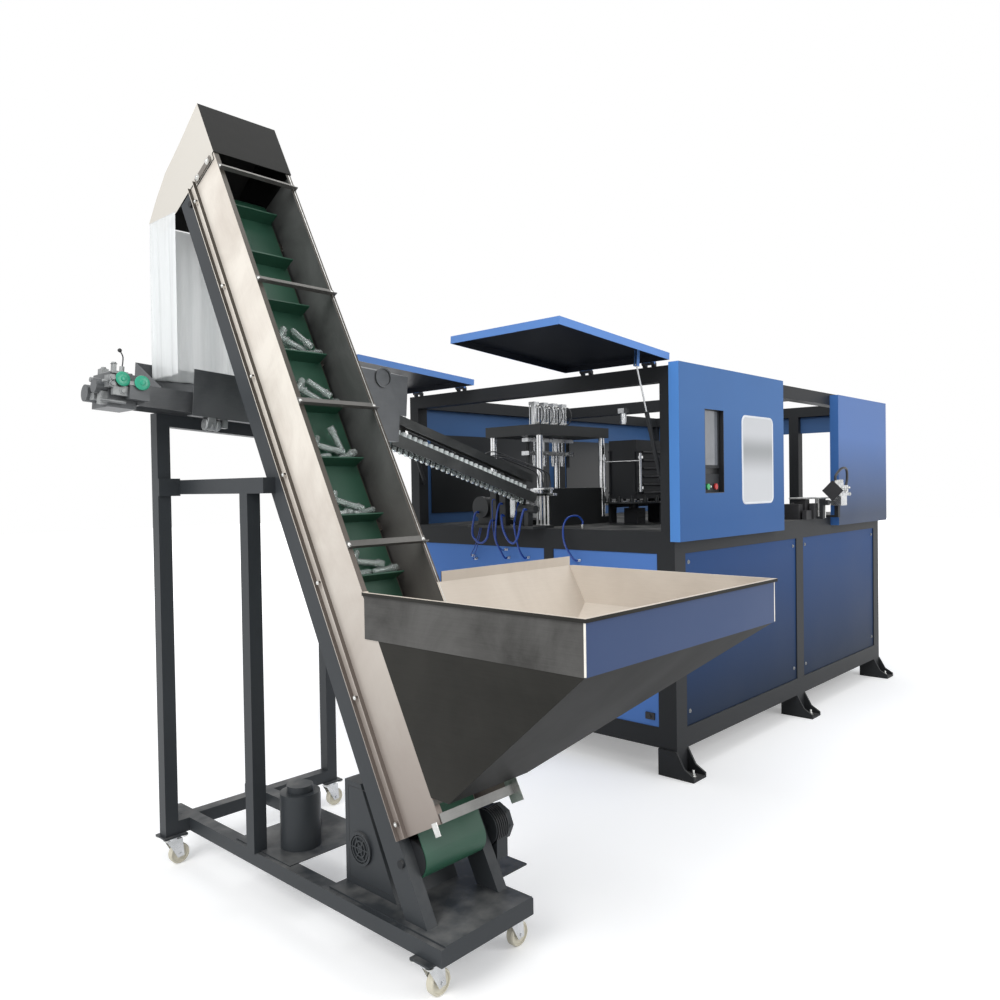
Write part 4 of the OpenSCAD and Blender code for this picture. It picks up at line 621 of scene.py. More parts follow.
def tube_along(path, radius, sides):
    """Round tube: a circle square to the path at each point, closed at both ends."""
    heading = np.gradient(path, axis=0)
    path = np.concatenate([path[:1], path, path[-1:]])
    heading = np.concatenate([heading[:1], heading, heading[-1:]])
    heading /= np.linalg.norm(heading, axis=1, keepdims=True)
    side = np.cross(heading, (0.31, 0.17, 0.93))
    side /= np.linalg.norm(side, axis=1, keepdims=True)
    other = np.cross(heading, side)
    size = np.full((len(path), 1, 1), float(radius))
    size[0] = size[-1] = 0
    angle = np.arange(sides) * 2 * np.pi / sides
    points = path[:, None] + size * (np.cos(angle)[None, :, None] * side[:, None]
                                     + np.sin(angle)[None, :, None] * other[:, None])
    return points.reshape(-1, 3), grid_faces(len(path), sides, round_columns=True, flip=True)


hose_marks = [
    [(-96.4, 1100, 1236), (-118, 1100, 1236), (-132, 1106, 1190), (-130, 1122, 1140), (-128, 1160, 1112),
     (-130, 1200, 1118), (-132, 1234, 1160), (-122, 1232, 1240), (-106, 1228, 1280), (-84.4, 1228, 1280)],
    [(-92.4, 860, 1298), (-114, 860, 1298), (-132, 868, 1235), (-134, 885, 1160), (-130, 920, 1118),
     (-130, 960, 1130), (-132, 996, 1190), (-118, 1020, 1264), (-96.4, 1020, 1264)]]
HOSE_R, HOSE_STEPS, HOSE_SIDES = 6 * MM, 90, 14
blue_tube = moulded_plastic("blue_hose_plastic", (0.008, 0.050, 0.30), 0.28, 300.0)
hoses = build_piece("blue_air_hoses", [tube_along(smooth_run(marks, HOSE_STEPS) * MM, HOSE_R, HOSE_SIDES)
                                       for marks in hose_marks], blue_tube, "hose_blue", 60)
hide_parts("air_hoses")


# Window seal and control details. A pale rubber bead and a pane painted with a
# reflection of the room over the window, blanks flush in the cover above it and the recess,
# black strips on the recess's walls, a dark glass screen and a round lamp by the buttons.
def slab(low, high):
    """A block between two corners, as eight points and six faces that look outwards."""
    low, high = np.asarray(low, float), np.asarray(high, float)
    corner = np.array([(x, y, z) for z in (0, 1) for y in (0, 1) for x in (0, 1)], float)
    faces = np.array([(0, 2, 3, 1), (4, 5, 7, 6), (0, 1, 5, 4), (2, 6, 7, 3), (0, 4, 6, 2), (1, 3, 7, 5)])
    return low + corner * (high - low), faces


def round_corners(width, height, radius, steps):
    """Outline of a rectangle with quarter-circle corners, as points about its middle."""
    corner = np.linspace(0, np.pi / 2, steps)
    middle = [(sx * (width / 2 - radius), sy * (height / 2 - radius))
              for sx, sy in ((1, 1), (-1, 1), (-1, -1), (1, -1))]
    return np.concatenate([np.stack([x + radius * np.cos(corner + k * np.pi / 2),
                                     y + radius * np.sin(corner + k * np.pi / 2)], -1)
                           for k, (x, y) in enumerate(middle)])


def bead_round(outline, centre, width, depth, steps=8):
    """A half-round bead carried round a flat outline that lies along X and Z; it stands out along -Y."""
    turn = np.linspace(0, np.pi, steps)
    section = np.stack([width * np.cos(turn) * 0.5, depth * np.sin(turn)], -1)
    along = np.roll(outline, -1, axis=0) - np.roll(outline, 1, axis=0)
    along /= np.linalg.norm(along, axis=1, keepdims=True)
    inward = np.stack([-along[:, 1], along[:, 0]], -1)
    flat = outline[:, None] + inward[:, None] * section[None, :, :1]
    outward = np.broadcast_to(-section[None, :, 1], flat.shape[:2])
    points = np.asarray(centre) + np.stack([flat[..., 0], outward, flat[..., 1]], -1)
    return points.reshape(-1, 3), grid_faces(len(outline), len(section), True, True)


def rounded_plate(outline, steps, place, thickness):
    """A plate with round corners that lies along X and Z about a place; its front looks along -Y."""
    count = len(outline)
    front = np.stack([outline[:, 0], np.full(count, -thickness), outline[:, 1]], -1) + place
    back = front + np.array((0, thickness, 0))
    half = 2 * steps
    across = [(k + i, k + i + 1, k + half - 2 - i, k + half - 1 - i) for k in (0, half) for i in range(steps - 1)]
    across += [(0, half - 1, half, 2 * half - 1)]
    sides = [(i, (i + 1) % count, (i + 1) % count + count, i + count) for i in range(count)]
    rear = [tuple(count + k for k in face[::-1]) for face in across]
    return np.concatenate([front, back]), np.array([face[::-1] for face in across + rear + sides])


def painted_reflection_pane():
    """Frosted pane: pale, with one soft grey band painted across it as a reflection of the room's dark side."""
    material, tree, pane = new_material("painted_reflection_pane")
    height = upright(own(tree))
    below = mixed_colour(mapped(height, 1.46, 1.60, way="SMOOTHSTEP"),
                         (0.56, 0.57, 0.59), (0.30, 0.31, 0.32))
    tone = mixed_colour(mapped(height, 1.60, 1.70, way="SMOOTHSTEP"), below, (0.54, 0.55, 0.57))
    fill(pane, Base_Color=tone, Roughness=0.30)
    return material


COVER_FACE = -0.055
BLANK_BACK, BLANK_FRONT = COVER_FACE + 0.0006, COVER_FACE + 0.0001
WINDOW_LEFT, WINDOW_FOOT, WINDOW_W, WINDOW_H = 0.604, 1.318, 0.364, 0.462
CORNER_R, CORNER_STEPS = 0.034, 9
BEAD_W, BEAD_DEPTH = 0.013, 0.005
PANE_OUT, PANE_THICK = 0.0002, 0.002
window_edge = round_corners(WINDOW_W, WINDOW_H, CORNER_R, CORNER_STEPS)
window_middle = np.array((WINDOW_LEFT + WINDOW_W / 2, COVER_FACE, WINDOW_FOOT + WINDOW_H / 2))
pale_rubber = moulded_plastic("pale_rubber", (0.74, 0.76, 0.79), 0.5, 900.0)
build_piece("window_seal", [bead_round(window_edge, window_middle, BEAD_W, BEAD_DEPTH)],
            pale_rubber, "window_plastic", 60)
build_piece("window_pane", [rounded_plate(window_edge, CORNER_STEPS, window_middle - (0, PANE_OUT, 0), PANE_THICK)],
            painted_reflection_pane(), "window_plastic", 30)
build_piece("window_blank", [slab((0.615, BLANK_FRONT, 1.700), (0.995, BLANK_BACK, 1.995))], cover_powder,
            "blue_paint", 30)

# Black strips along the recess's four walls, which darken them, and a thin black plate under the screen.
LINING_FRONT, LINING_BACK, LINING_FOOT, LINING_TOP = -0.0548, -0.018, 1.3782, 1.800
LINING_X = ((0.2052, 0.208), (0.398, 0.4008))
lining = [slab((left, LINING_FRONT, LINING_FOOT), (right, LINING_BACK, LINING_TOP)) for left, right in LINING_X]
lining += [slab((LINING_X[0][1], front, low), (LINING_X[1][0], back, high)) for front, low, back, high in
           ((LINING_FRONT, 1.796, LINING_BACK, LINING_TOP), (LINING_FRONT, LINING_FOOT, LINING_BACK, 1.381),
            (-0.0200, 1.470, -0.0190, 1.520))]
build_piece("recess_lining", lining, moulded_plastic("lining_black", (0.012, 0.013, 0.015), 0.4, 900.0),
            "black_paint", 30)
build_piece("recess_blank", [slab((0.200, BLANK_FRONT, 1.796), (0.406, BLANK_BACK, 1.852))], cover_powder,
            "blue_paint", 30)
screen_glass = clouded("screen_glass", (0.07, 0.08, 0.09), (0.26, 0.27, 0.30), 40.0, 7.0, 0.02, 0.0002,
                       Roughness=0.12, Coat_Weight=0.6)
SCREEN_LOW, SCREEN_HIGH = (0.226, -0.0295, 1.519), (0.380, -0.0290, 1.793)
build_piece("screen", [slab(SCREEN_LOW, SCREEN_HIGH)], screen_glass, "window_plastic", 30)
lamp_shape = turned([(0, 0), (6, 0), (6, 2.5), (5.2, 4.5), (3, 5.6), (0, 6)], 20)
white_plastic = moulded_plastic("white_lamp_plastic", (0.86, 0.86, 0.84), 0.3)
LAMP_PLACE = (0.30888, -0.027, 1.410)
build_piece("panel_lamp", [aimed(lamp_shape, LAMP_PLACE, DOWN_Y)], white_plastic, "window_plastic", 50)


# Fasteners. Zinc quarter-turn locks near the corners of the operator's side
# panels, with a dark slot; black lock plates and keys low on the end panels.
def set_at(parts, spots):
    """The turned parts of one fitting at each (place, heading)."""
    return [aimed(part, place, heading) for place, heading in spots for part in parts]


zinc_plate = sheet_steel("zinc_plate", (0.42, 0.43, 0.42), (0.72, 0.72, 0.70), 0.28, (2, 2, 2), smear=30.0)
dull_zinc = sheet_steel("dull_zinc", (0.16, 0.165, 0.17), (0.30, 0.31, 0.31), 0.42, (2, 2, 2), smear=30.0,
                        metallic=0.5)
dark_slot = moulded_plastic("dark_slot", (0.02, 0.02, 0.022), 0.6)
panel_lock = [turned([(0, 0), (10.15, 0), (10.15, 0.84), (9.10, 1.54), (0, 1.54)], 28),
              turned([(0, 1.4), (7, 1.4), (7, 4.9), (6.3, 5.6), (0, 5.6)], 28)]
ZINC, DULL, DARK = (zinc_plate, "bright_steel"), (dull_zinc, "bright_steel"), (dark_slot, "black_paint")
lock_places = [(x, 0.006, z) for x in (0.138, 1.374, 1.550, 2.722) for z in (0.300, 1.040)]
build_piece("panel_locks", set_at(panel_lock, [(place, DOWN_Y) for place in lock_places]), *DULL, 40)
build_piece("lock_slots", [slab((x - 0.0055, -0.0004, z - 0.001), (x + 0.0055, 0.0010, z + 0.001))
                           for x, y, z in lock_places], *DARK, 30)
lock_key = turned([(0, 0), (9, 0), (9, 5), (7, 7), (0, 7)], 20)
END_LOCK_Y = (0.150, 0.700, 0.870, 1.750)
build_piece("end_panel_locks", [slab((-0.004, y - 0.026, 0.262), (0.006, y + 0.026, 0.296)) for y in END_LOCK_Y]
            + [aimed(lock_key, (-0.004, y, 0.279), (-1, 0, 0)) for y in END_LOCK_Y],
            *DARK, 30, bevel=0.002)


# Drop curtain. One soft milky sheet hung round three sides of the hood's
# mouth; it hangs in upright folds that open towards its free lower edge.
def milky_film():
    """Thin film: transparency broken by upright folds of whiter haze."""
    material, tree, film = new_material("curtain_film")
    folds = place_group(tree, GRAIN, Stretch=(0.35, 0.35, 0.02), Smear_Scale=2.0)["Grain"]
    fill(film, Base_Color=(0.90, 0.92, 0.92, 1), Roughness=0.35,
         Alpha=mapped(folds, 0.35, 0.65, 0.50, 0.66), Normal=raised(folds, 0.25, 0.006))
    return material


def folded_curtain(plan, high, low, columns, rows):
    """Points of a sheet hung along a plan, and the plan's length.

    At s along the plan the sheet stands out by (4.2 mm sin(62 s + 0.8 sin 17 s) + 1.4 mm sin(143 s + 1.3))
    times (0.25 + d), where d = (fall / whole fall) ** 0.7, and by less at its held top, where d < 1/4.
    """
    reach = np.concatenate([[0], np.cumsum(np.linalg.norm(np.diff(plan, axis=0), axis=1))])
    s = np.linspace(0, reach[-1], columns)
    x, y = np.interp(s, reach, plan[:, 0]), np.interp(s, reach, plan[:, 1])
    out = np.stack([np.gradient(y, s), -np.gradient(x, s)], -1)
    out /= -np.linalg.norm(out, axis=1, keepdims=True)
    z = np.linspace(high, low, rows)
    droop = ((high - z) / (high - low))[:, None] ** 0.7
    fold = (np.sin(s * 62 + 0.8 * np.sin(s * 17)) * 0.0042 + np.sin(s * 143 + 1.3) * 0.0014)[None, :] * (0.25 + droop)
    fold = fold * np.minimum(1, droop * 4)
    points = np.stack([x[None, :] + out[None, :, 0] * fold, y[None, :] + out[None, :, 1] * fold,
                       np.tile(z[:, None], (1, columns))], -1)
    return points.reshape(-1, 3), float(reach[-1])


CURTAIN_LOW, CURTAIN_HIGH = 1.885, 2.520
CURTAIN_COLUMNS, CURTAIN_ROWS = 150, 70
curtain_plan = np.array([(-1.9546, 1.040), (-1.9546, 1.258), (-1.9440, 1.268), (-1.6310, 1.268),
                         (-1.6204, 1.258), (-1.6204, 1.040)])
curtain_points, CURTAIN_WIDTH = folded_curtain(curtain_plan, CURTAIN_HIGH, CURTAIN_LOW, CURTAIN_COLUMNS, CURTAIN_ROWS)
curtain = build_piece("curtain_sheet", [(curtain_points, grid_faces(CURTAIN_ROWS, CURTAIN_COLUMNS, flip=True))],
                      milky_film(), "curtain_film", 180)
curtain_wall = curtain.modifiers.new("film", "SOLIDIFY")
curtain_wall.thickness = 0.0006
curtain_wall.offset = 0.0
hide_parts("drop_curtain")


# Screws of the elevator. Zinc dome screws on washers where the straps meet the
# front flanges and along the near wall, and hexagon bolts on the joint's bar.
dome_screw = turned([(0, 0), (11, 0), (11, 1.2), (8, 1.6), (7.6, 3.4), (6, 5.4), (3.2, 6.6), (0, 7)], 20)
hexagon_bolt = [turned([(0, 0), (12, 0), (12, 1.5), (0, 1.5)], 24),
                turned([(0, 1.5), (8.5, 1.5), (8.5, 6), (7.2, 7), (0, 7)], 6)]
small_screw = (dome_screw[0] * 0.6, dome_screw[1])
strap_spots = [(in_axes(*SLOPE, across, up + 13, 203.1), slope_out) for up in (860, 1385, 1885, 2395)
               for across in (9, 316)]
wall_spots = [(in_axes(*SLOPE, -14.2, up, 22), (-1, 0, 0)) for up in (57, 443, 827, 1221, 1612, 2002, 2395)]
joint_spots = [(in_axes(*SLOPE, -10.2, 2463, out), (-1, 0, 0)) for out in (76, 160)]
build_piece("elevator_screws", set_at([small_screw], strap_spots + wall_spots) + set_at(hexagon_bolt, joint_spots),
            *ZINC, 40)


# Elevator's straps. A brown flat bar over the joint of the hood and the near
# wall, a bright strip along the far flange's edge as a painted highlight, and across the foot of the
# flanges a grey folded strip between two bright end plates.
def block(at, axes, low, high):
    """A block in a part's own axes, given in millimetres."""
    points, faces = slab(low, high)
    return at + points @ axes * MM, faces


joint_steel = sheet_steel("joint_strap_sheet", (0.13, 0.115, 0.10), (0.22, 0.20, 0.18), 0.42, (6, 6, 0.2),
                          metallic=0.3)
foot_steel = sheet_steel("foot_strap_sheet", (0.13, 0.13, 0.125), (0.24, 0.24, 0.23), 0.40, LENGTHWISE, metallic=0.3)
build_piece("joint_strap", [block(*SLOPE, (-10.2, 2452, 54), (-8.5, 2474, 182))], joint_steel, "stainless", 30)
# A painted highlight: a thin bright strip along the far flange's edge.
build_piece("edge_highlight", [block(*SLOPE, (311.5, 50, 203.05), (313.5, 2466, 203.9))], zinc_plate, "stainless", 30)
build_piece("foot_strap", [block(*SLOPE, (3, 12, 203.2), (304, 38, 205.2)),
                           block(*SLOPE, (3, 38, 196), (304, 40, 205.2))], foot_steel, "stainless", 35)
build_piece("foot_plates", [block(*SLOPE, (304.5, -14, 176), (306.5, 66, 232)),
                            block(*SLOPE, (-15.6, -16, 180), (-14.1, 22, 203))]
            + set_at([dome_screw], [(in_axes(*SLOPE, 306.5, up, 216), ALONG_X) for up in (2, 50)]),
            zinc_plate, "stainless", 35)


# Unscrambler's end cluster. Zinc brackets, two green plastic guide discs, a
# feeler lever and the small silver motor under the front apron, all screwed on.
BED_FALL = math.radians(4)
BED_RUN, BED_DROP = math.cos(BED_FALL), math.sin(BED_FALL)
BED = np.array((-2.200, 0.900, 1.775)), np.array(((BED_RUN, 0, -BED_DROP), (0, 1, 0), (BED_DROP, 0, BED_RUN)))
UP_Z = (0, 0, 1)


def bar(start, end, steps, radius, sides):
    """A straight round bar between two places."""
    return tube_along(np.linspace(start, end, steps), radius, sides)


guide_disc = turned([(0, -4), (7, -4), (7, -2), (9, -1), (9, 0), (22, 0), (25, 1.5), (26, 4), (25, 7), (22, 8.5),
                     (9, 8.5), (9, 11), (6, 12), (0, 12)], 32)
green_plastic = moulded_plastic("green_disc_plastic", (0.02, 0.33, 0.20), 0.28)
build_piece("guide_discs", [aimed(guide_disc, in_axes(*BED, -84, -112, 34), (0.1, -1, 0.15)),
                            aimed(guide_disc, in_axes(*BED, -22, -124, 28), (-0.1, -1, 0.1))],
            green_plastic, "green_plastic", 40)
cluster = [block(*BED, low, high) for low, high in (
    ((-124, -112, 4), (-108, -60, 46)), ((-112, -108, -22), (-60, -90, 12)), ((-62, -124, 16), (-44, -76, 30)),
    ((-104, -78, 56), (-50, 20, 66)), ((-96, -60, 60), (-84, -40, 92)), ((-140, -20, -34), (-110, 20, -12)),
    ((-40, -60, 48), (-16, 60, 62)), ((-100, 24, 56), (-76, 60, 84)), ((-134, -64, -52), (-110, -30, -8)))]
cluster += set_at(hexagon_bolt, [(in_axes(*BED, *place), heading) for place, heading in (
    ((-116, -113, 14), DOWN_Y), ((-116, -113, 34), DOWN_Y), ((-78, -109, -6), DOWN_Y),
    ((-90, -50, 92), UP_Z), ((-88, 40, 84), UP_Z), ((-28, -40, 62), UP_Z), ((-28, 40, 62), UP_Z))])
cluster += [bar(in_axes(*BED, *start), in_axes(*BED, *end), 8, radius * MM, 14) for start, end, radius in (
    ((-60, -90, -42), (-148, -90, -42), 6), ((-110, -100, 22), (-146, -100, 22), 5),
    ((-112, 0, 34), (-148, 0, 34), 9), ((-70, -70, 60), (-70, -70, 84), 8), ((-52, -100, 24), (-10, -104, 16), 5))]
build_piece("end_cluster", cluster, *DULL, 35, bevel=0.0012)
lever_marks = [in_axes(*BED, *mark) for mark in ((-70, -70, 80), (-68, -70, 100), (-70, -72, 120), (-82, -74, 138))]
lever_knob = turned([(0, -7), (4.5, -6), (7, -2), (7, 2), (4.5, 6), (0, 7)], 16)
build_piece("feeler_lever", [tube_along(smooth_run(lever_marks, 24), 2.2 * MM, 10),
                             aimed(lever_knob, lever_marks[-1], (-0.5, 0, 0.8))], *DARK, 50)
small_motor = turned([(0, 0), (20, 0), (23, 3), (23, 12), (21.5, 13), (21.5, 22), (23, 23), (23, 32), (21.5, 33),
                      (21.5, 42), (23, 43), (23, 54), (19, 60), (8, 60), (8, 74), (0, 74)], 28)
build_piece("apron_motor", [aimed(small_motor, in_axes(*BED, 226, -98, -84), (1, 0, -0.07)),
                            block(*BED, (232, -122, -84), (262, -76, -60)),
                            block(*BED, (296, -108, -92), (318, -84, -60))],
            *DULL, 35, bevel=0.001)


# Outlet fittings. Elbows on the manifold with one thick black hose arched over
# it, a black stop face, and the cylinders and chrome posts that stand behind.
DECK_TOP = 1.1955
fitting = turned([(0, 0), (7.5, 0), (7.5, 6), (6, 7), (6, 12), (7, 13), (7, 18), (5, 20), (0, 20)], 18)
fitting_spots = [((x, -0.102, 1.417), UP_Z) for x in (1.775, 1.803, 1.831, 1.859, 1.887)]
fitting_spots += [((x, -0.128, z), DOWN_Y) for x, z in ((1.785, 1.375), (1.822, 1.385), (1.858, 1.370), (1.896, 1.386))]
build_piece("outlet_fittings", set_at([fitting], fitting_spots)
            + set_at(hexagon_bolt, [((x, -0.138, 1.345), DOWN_Y) for x in (1.752, 1.918)])
            + [slab((x - 0.013, -0.132, 1.340), (x + 0.013, -0.1285, 1.362)) for x in (1.79, 1.88)],
            *ZINC, 35, bevel=0.0008, body="outlet_arm")
NYLON = moulded_plastic("black_nylon", (0.020, 0.021, 0.024), 0.38), "black_paint"
arch = [(1.775, -0.102, 1.434), (1.777, -0.103, 1.462), (1.812, -0.112, 1.494), (1.858, -0.120, 1.512),
        (1.912, -0.120, 1.502), (1.946, -0.112, 1.456), (1.946, -0.106, 1.408), (1.930, -0.102, 1.388),
        (1.9205, -0.102, 1.388)]
build_piece("outlet_hose", [tube_along(smooth_run(arch, 60), 8 * MM, 16)], *NYLON, 60,
            body="outlet_arm")
diamond = turned([(0, 0), (66, 0), (66, 5), (0, 5)], 4)
build_piece("stop_face", [aimed(diamond, (1.7295, -0.102, 1.369), (-1, 0, 0))], *DARK, 30,
            body="outlet_arm")
build_piece("outlet_posts", [bar((x, y, DECK_TOP), (x, y, 1.318), 6, 7.5 * MM, 18) for x, y in
                             ((1.700, -0.020), (1.752, 0.012), (1.806, -0.020), (1.842, 0.012))]
            + [slab((1.688, -0.034, 1.318), (1.856, 0.026, 1.326))], *ZINC, 40)
cylinders = [slab((x, y, DECK_TOP), high) for x, y, high in (
    (1.500, 0.020, (1.560, 0.120, 1.290)), (1.575, 0.010, (1.640, 0.090, 1.318)),
    (1.655, 0.020, (1.690, 0.080, 1.270)), (1.520, -0.020, (1.600, 0.008, 1.250)),
    (1.610, -0.030, (1.670, 0.000, 1.292)))]
cylinders += set_at(hexagon_bolt, [((1.530, 0.070, 1.290), UP_Z), ((1.606, 0.050, 1.318), UP_Z)])
build_piece("outlet_cylinders", cylinders, *DARK, 30, bevel=0.003)
build_piece("outlet_plate", [slab((1.545, -0.012, 1.320), (1.700, 0.102, 1.329))], *ZINC, 30,
            bevel=0.001)


# Foot anchors and caster bolts. A threaded stud with a nut and washer through
# each foot's sole, and hexagon bolts through the plates over the casters.
anchor_stud = [turned([(0, 0), (17, 0), (17, 2.5), (0, 2.5)], 24),
               turned([(0, 2.5), (12.5, 2.5), (12.5, 12), (11, 13), (0, 13)], 6),
               turned([(0, 13), (7.4, 13), (7.4, 28), (6, 30), (0, 30)], 16)]
foot_spots = [((x, y, 0.012), UP_Z) for x in (0.050, 1.462, 2.810) for y in (-0.058, 1.958)]
build_piece("foot_anchors", set_at(anchor_stud, foot_spots), *ZINC, 35)
caster_spots = [((x + sx * 0.036, y + sy * 0.032, 0.114), (0, 0, -1)) for x, y in
                ((-2.050, 0.985), (-1.305, 1.010), (-1.965, -0.380), (-1.630, -0.380))
                for sx in (-1, 1) for sy in (-1, 1)]
build_piece("caster_bolts", set_at(hexagon_bolt, caster_spots), *ZINC, 35)


# Gearmotor details. Cooling ribs round the black motor, its end cover's
# screws and a bright shaft end with a shoulder.
MOTOR = in_axes(*SLOPE, 337, -50, -16)
CAP_OUT, CAP_SCREW_R = 0.078, 0.044
RIB_START, RIB_PITCH, RIBS = 0.006, 0.009, 6
rib_ring = turned([(57, 0), (61.5, 0), (61.5, 3), (57, 3)], 40)
cap_screw = turned([(0, 0), (5, 0), (5, 4), (0, 4)], 16)
shaft_end = turned([(0, 0), (16, 0), (16, 3), (12, 4), (12, 9), (10.5, 10), (0, 10)], 28)
cap_spots = [(MOTOR + (CAP_OUT, CAP_SCREW_R * math.cos(a), CAP_SCREW_R * math.sin(a)), ALONG_X)
             for a in np.arange(6) * np.pi / 3 + 0.3]
build_piece("motor_ribs", set_at([rib_ring], [(MOTOR + (RIB_START + RIB_PITCH * i, 0, 0), ALONG_X)
                                              for i in range(RIBS)]), *NYLON, 40)
build_piece("motor_screws", set_at([cap_screw], cap_spots)
            + [aimed(shaft_end, MOTOR + (CAP_OUT, 0, 0), ALONG_X)], *ZINC, 40)


# Press fittings. Round elbows on the stretch cylinders and on the nozzle bar,
# and black air lines between the cylinders' ports.
PRESS_X, PRESS_Y = 0.400, 1.100
PORTS = (1.800, 1.900)
station_x = [PRESS_X + (i - 1.5) * 0.088 for i in range(4)]
elbow = turned([(0, 0), (6, 0), (6, 8), (7.5, 9), (7.5, 14), (5, 16), (0, 16)], 16)
build_piece("press_elbows", set_at([elbow], [((x, PRESS_Y - 0.021, z), DOWN_Y) for x in station_x for z in PORTS]),
            *ZINC, 35)
build_piece("nozzle_elbows", set_at([elbow], [((x, PRESS_Y - 0.024, 1.620), DOWN_Y) for x in station_x]),
            *ZINC, 35, body="nozzle_bar")
line_marks = [(0, -0.036, 1.800), (0, -0.055, 1.802), (0.006, -0.070, 1.840), (0.004, -0.066, 1.880),
              (0, -0.050, 1.899), (0, -0.036, 1.900)]
build_piece("press_air_lines", [tube_along(smooth_run([(x + dx, PRESS_Y + dy, z) for dx, dy, z in line_marks], 30),
                                           3 * MM, 10) for x in station_x], *NYLON, 60)


# Oven's front bars. Two chrome uprights clamped to the housing's end by small
# brackets, joined by a thin cross bar.
CHROME = (sheet_steel("chrome_bar", (0.62, 0.63, 0.64), (0.86, 0.87, 0.88), 0.14, (3, 3, 0.4), smear=12.0,
                      metallic=1.0), "bright_steel")
oven_bars = []
for y in (0.533, 0.783):
    oven_bars.append(bar((0.530, y, 1.384), (0.530, y, 1.606), 8, 7.5 * MM, 18))
    oven_bars += [slab((0.530, y - 0.012, z), (0.5402, y + 0.012, z + 0.014)) for z in (1.400, 1.575)]
oven_bars.append(bar((0.523, 0.533, 1.562), (0.523, 0.783, 1.562), 8, 3 * MM, 12))
build_piece("oven_bars", oven_bars, *CHROME, 40)


# Hopper's hem and seams. The rim's sheet is rolled over a wire, and the
# band's two outer corners carry a dressed bright weld.
hem_steel = sheet_steel("hem_sheet", (0.55, 0.52, 0.46), (0.80, 0.77, 0.70), 0.34, (3, 3, 0.3), smear=9.0,
                        metallic=0.5)
HOPPER_X, HOPPER_Y, RIM_Z = (-1.953, -0.933), -0.920, 1.115
RIM_BACK = -0.242 + ((RIM_Z - 0.389) * math.cos(INCLINE) - 0.200) / math.sin(INCLINE) - 0.014
HEM_OUT, HEM_Z = 0.0045, RIM_Z - 0.0046
hem_left, hem_right, hem_front = HOPPER_X[0] - HEM_OUT, HOPPER_X[1] + HEM_OUT, HOPPER_Y - HEM_OUT
hem_corners = [(hem_left, RIM_BACK), (hem_left, hem_front), (hem_right, hem_front), (hem_right, RIM_BACK)]
build_piece("hopper_hem", [bar((*a, HEM_Z), (*b, HEM_Z), 10, 4.4 * MM, 14)
                           for a, b in zip(hem_corners, hem_corners[1:])]
            + [bar((x, HOPPER_Y, RIM_Z - 0.010), (x, HOPPER_Y, RIM_Z - 0.139), 8, 3.0 * MM, 12) for x in HOPPER_X],
            hem_steel, "stainless", 50)


# Control box details. Dark seams of the door in the box's near side, drawn by
# thin strips that stand a little proud of the sheet.
SEAM_OUT, SEAM_IN = -1.9147 - 0.0006, -1.9147 + 0.001
build_piece("box_seams", [slab((SEAM_OUT, *low), (SEAM_IN, *high)) for low, high in (
    ((-0.140, 0.1952), (0.052, 0.1968)), ((-0.140, 0.4852), (0.052, 0.4868)), ((0.0512, 0.196), (0.0528, 0.486)))],
            *DARK, 30)


# Guards' wing screws on the infeed rail. Black knobs along the guard's posts
# set the width of the channel for the preforms.
knob = turned([(0, 0), (4, 0), (4, 8), (10, 9), (11, 12), (11, 20), (9.5, 22), (0, 22)], 12)
knob_spots = [(in_axes(*RAIL, along, 60, up), (0, 1, 0)) for along in (135, 515, 895) for up in (24, 62)]
build_piece("rail_knobs", set_at([knob], knob_spots), *DARK, 40)


# Rear panes. Smoked plastic sheets behind the two round-cornered windows of
# the rear cover, clamped to its inner face.
smoked_plastic = moulded_plastic("smoked_plastic", (0.012, 0.014, 0.016), 0.28, 900.0)
REAR_INNER, PANE_T = 1.8697, 0.005
build_piece("rear_panes", [slab((left, REAR_INNER - PANE_T, 1.262), (right, REAR_INNER, 1.768))
                           for left, right in ((0.142, 1.345), (1.554, 2.718))], smoked_plastic, "window_plastic", 30)


# Press column sleeves. Hard-chromed tubes round the four columns, between the
# base plate and the head plate.
BASE_TOP, HEAD_LOW, SLEEVE_R = 1.2352, 1.7148, 0.0184
build_piece("column_sleeves", [bar((x, y, BASE_TOP), (x, y, HEAD_LOW), 6, SLEEVE_R, 28)
                               for x in (PRESS_X - 0.298, PRESS_X + 0.298) for y in (PRESS_Y - 0.178, PRESS_Y + 0.178)],
            *CHROME, 40)


# Transfer block. Two ground plates on white plastic legs at the rail's lower
# end, standing on the loading station's base plate.
STATION_TOP = 1.2092
plates = [slab((0.032, 0.770, 1.372), (0.064, 0.925, 1.386)), slab((0.034, 0.790, 1.404), (0.062, 0.915, 1.416))]
plates += [slab((0.040, y, 1.386), (0.056, y + 0.018, 1.404)) for y in (0.795, 0.888)]
build_piece("transfer_plates", plates, *CHROME, 30, 0.001)
leg = turned([(0, 0), (9, 0), (9, 4), (5.5, 6), (5.5, 158), (7, 160), (7, 162.5), (0, 162.5)], 18)
build_piece("transfer_legs", set_at([leg], [((0.048, y, STATION_TOP), UP_Z) for y in (0.822, 0.848, 0.874, 0.900)]),
            white_plastic, "window_plastic", 35)


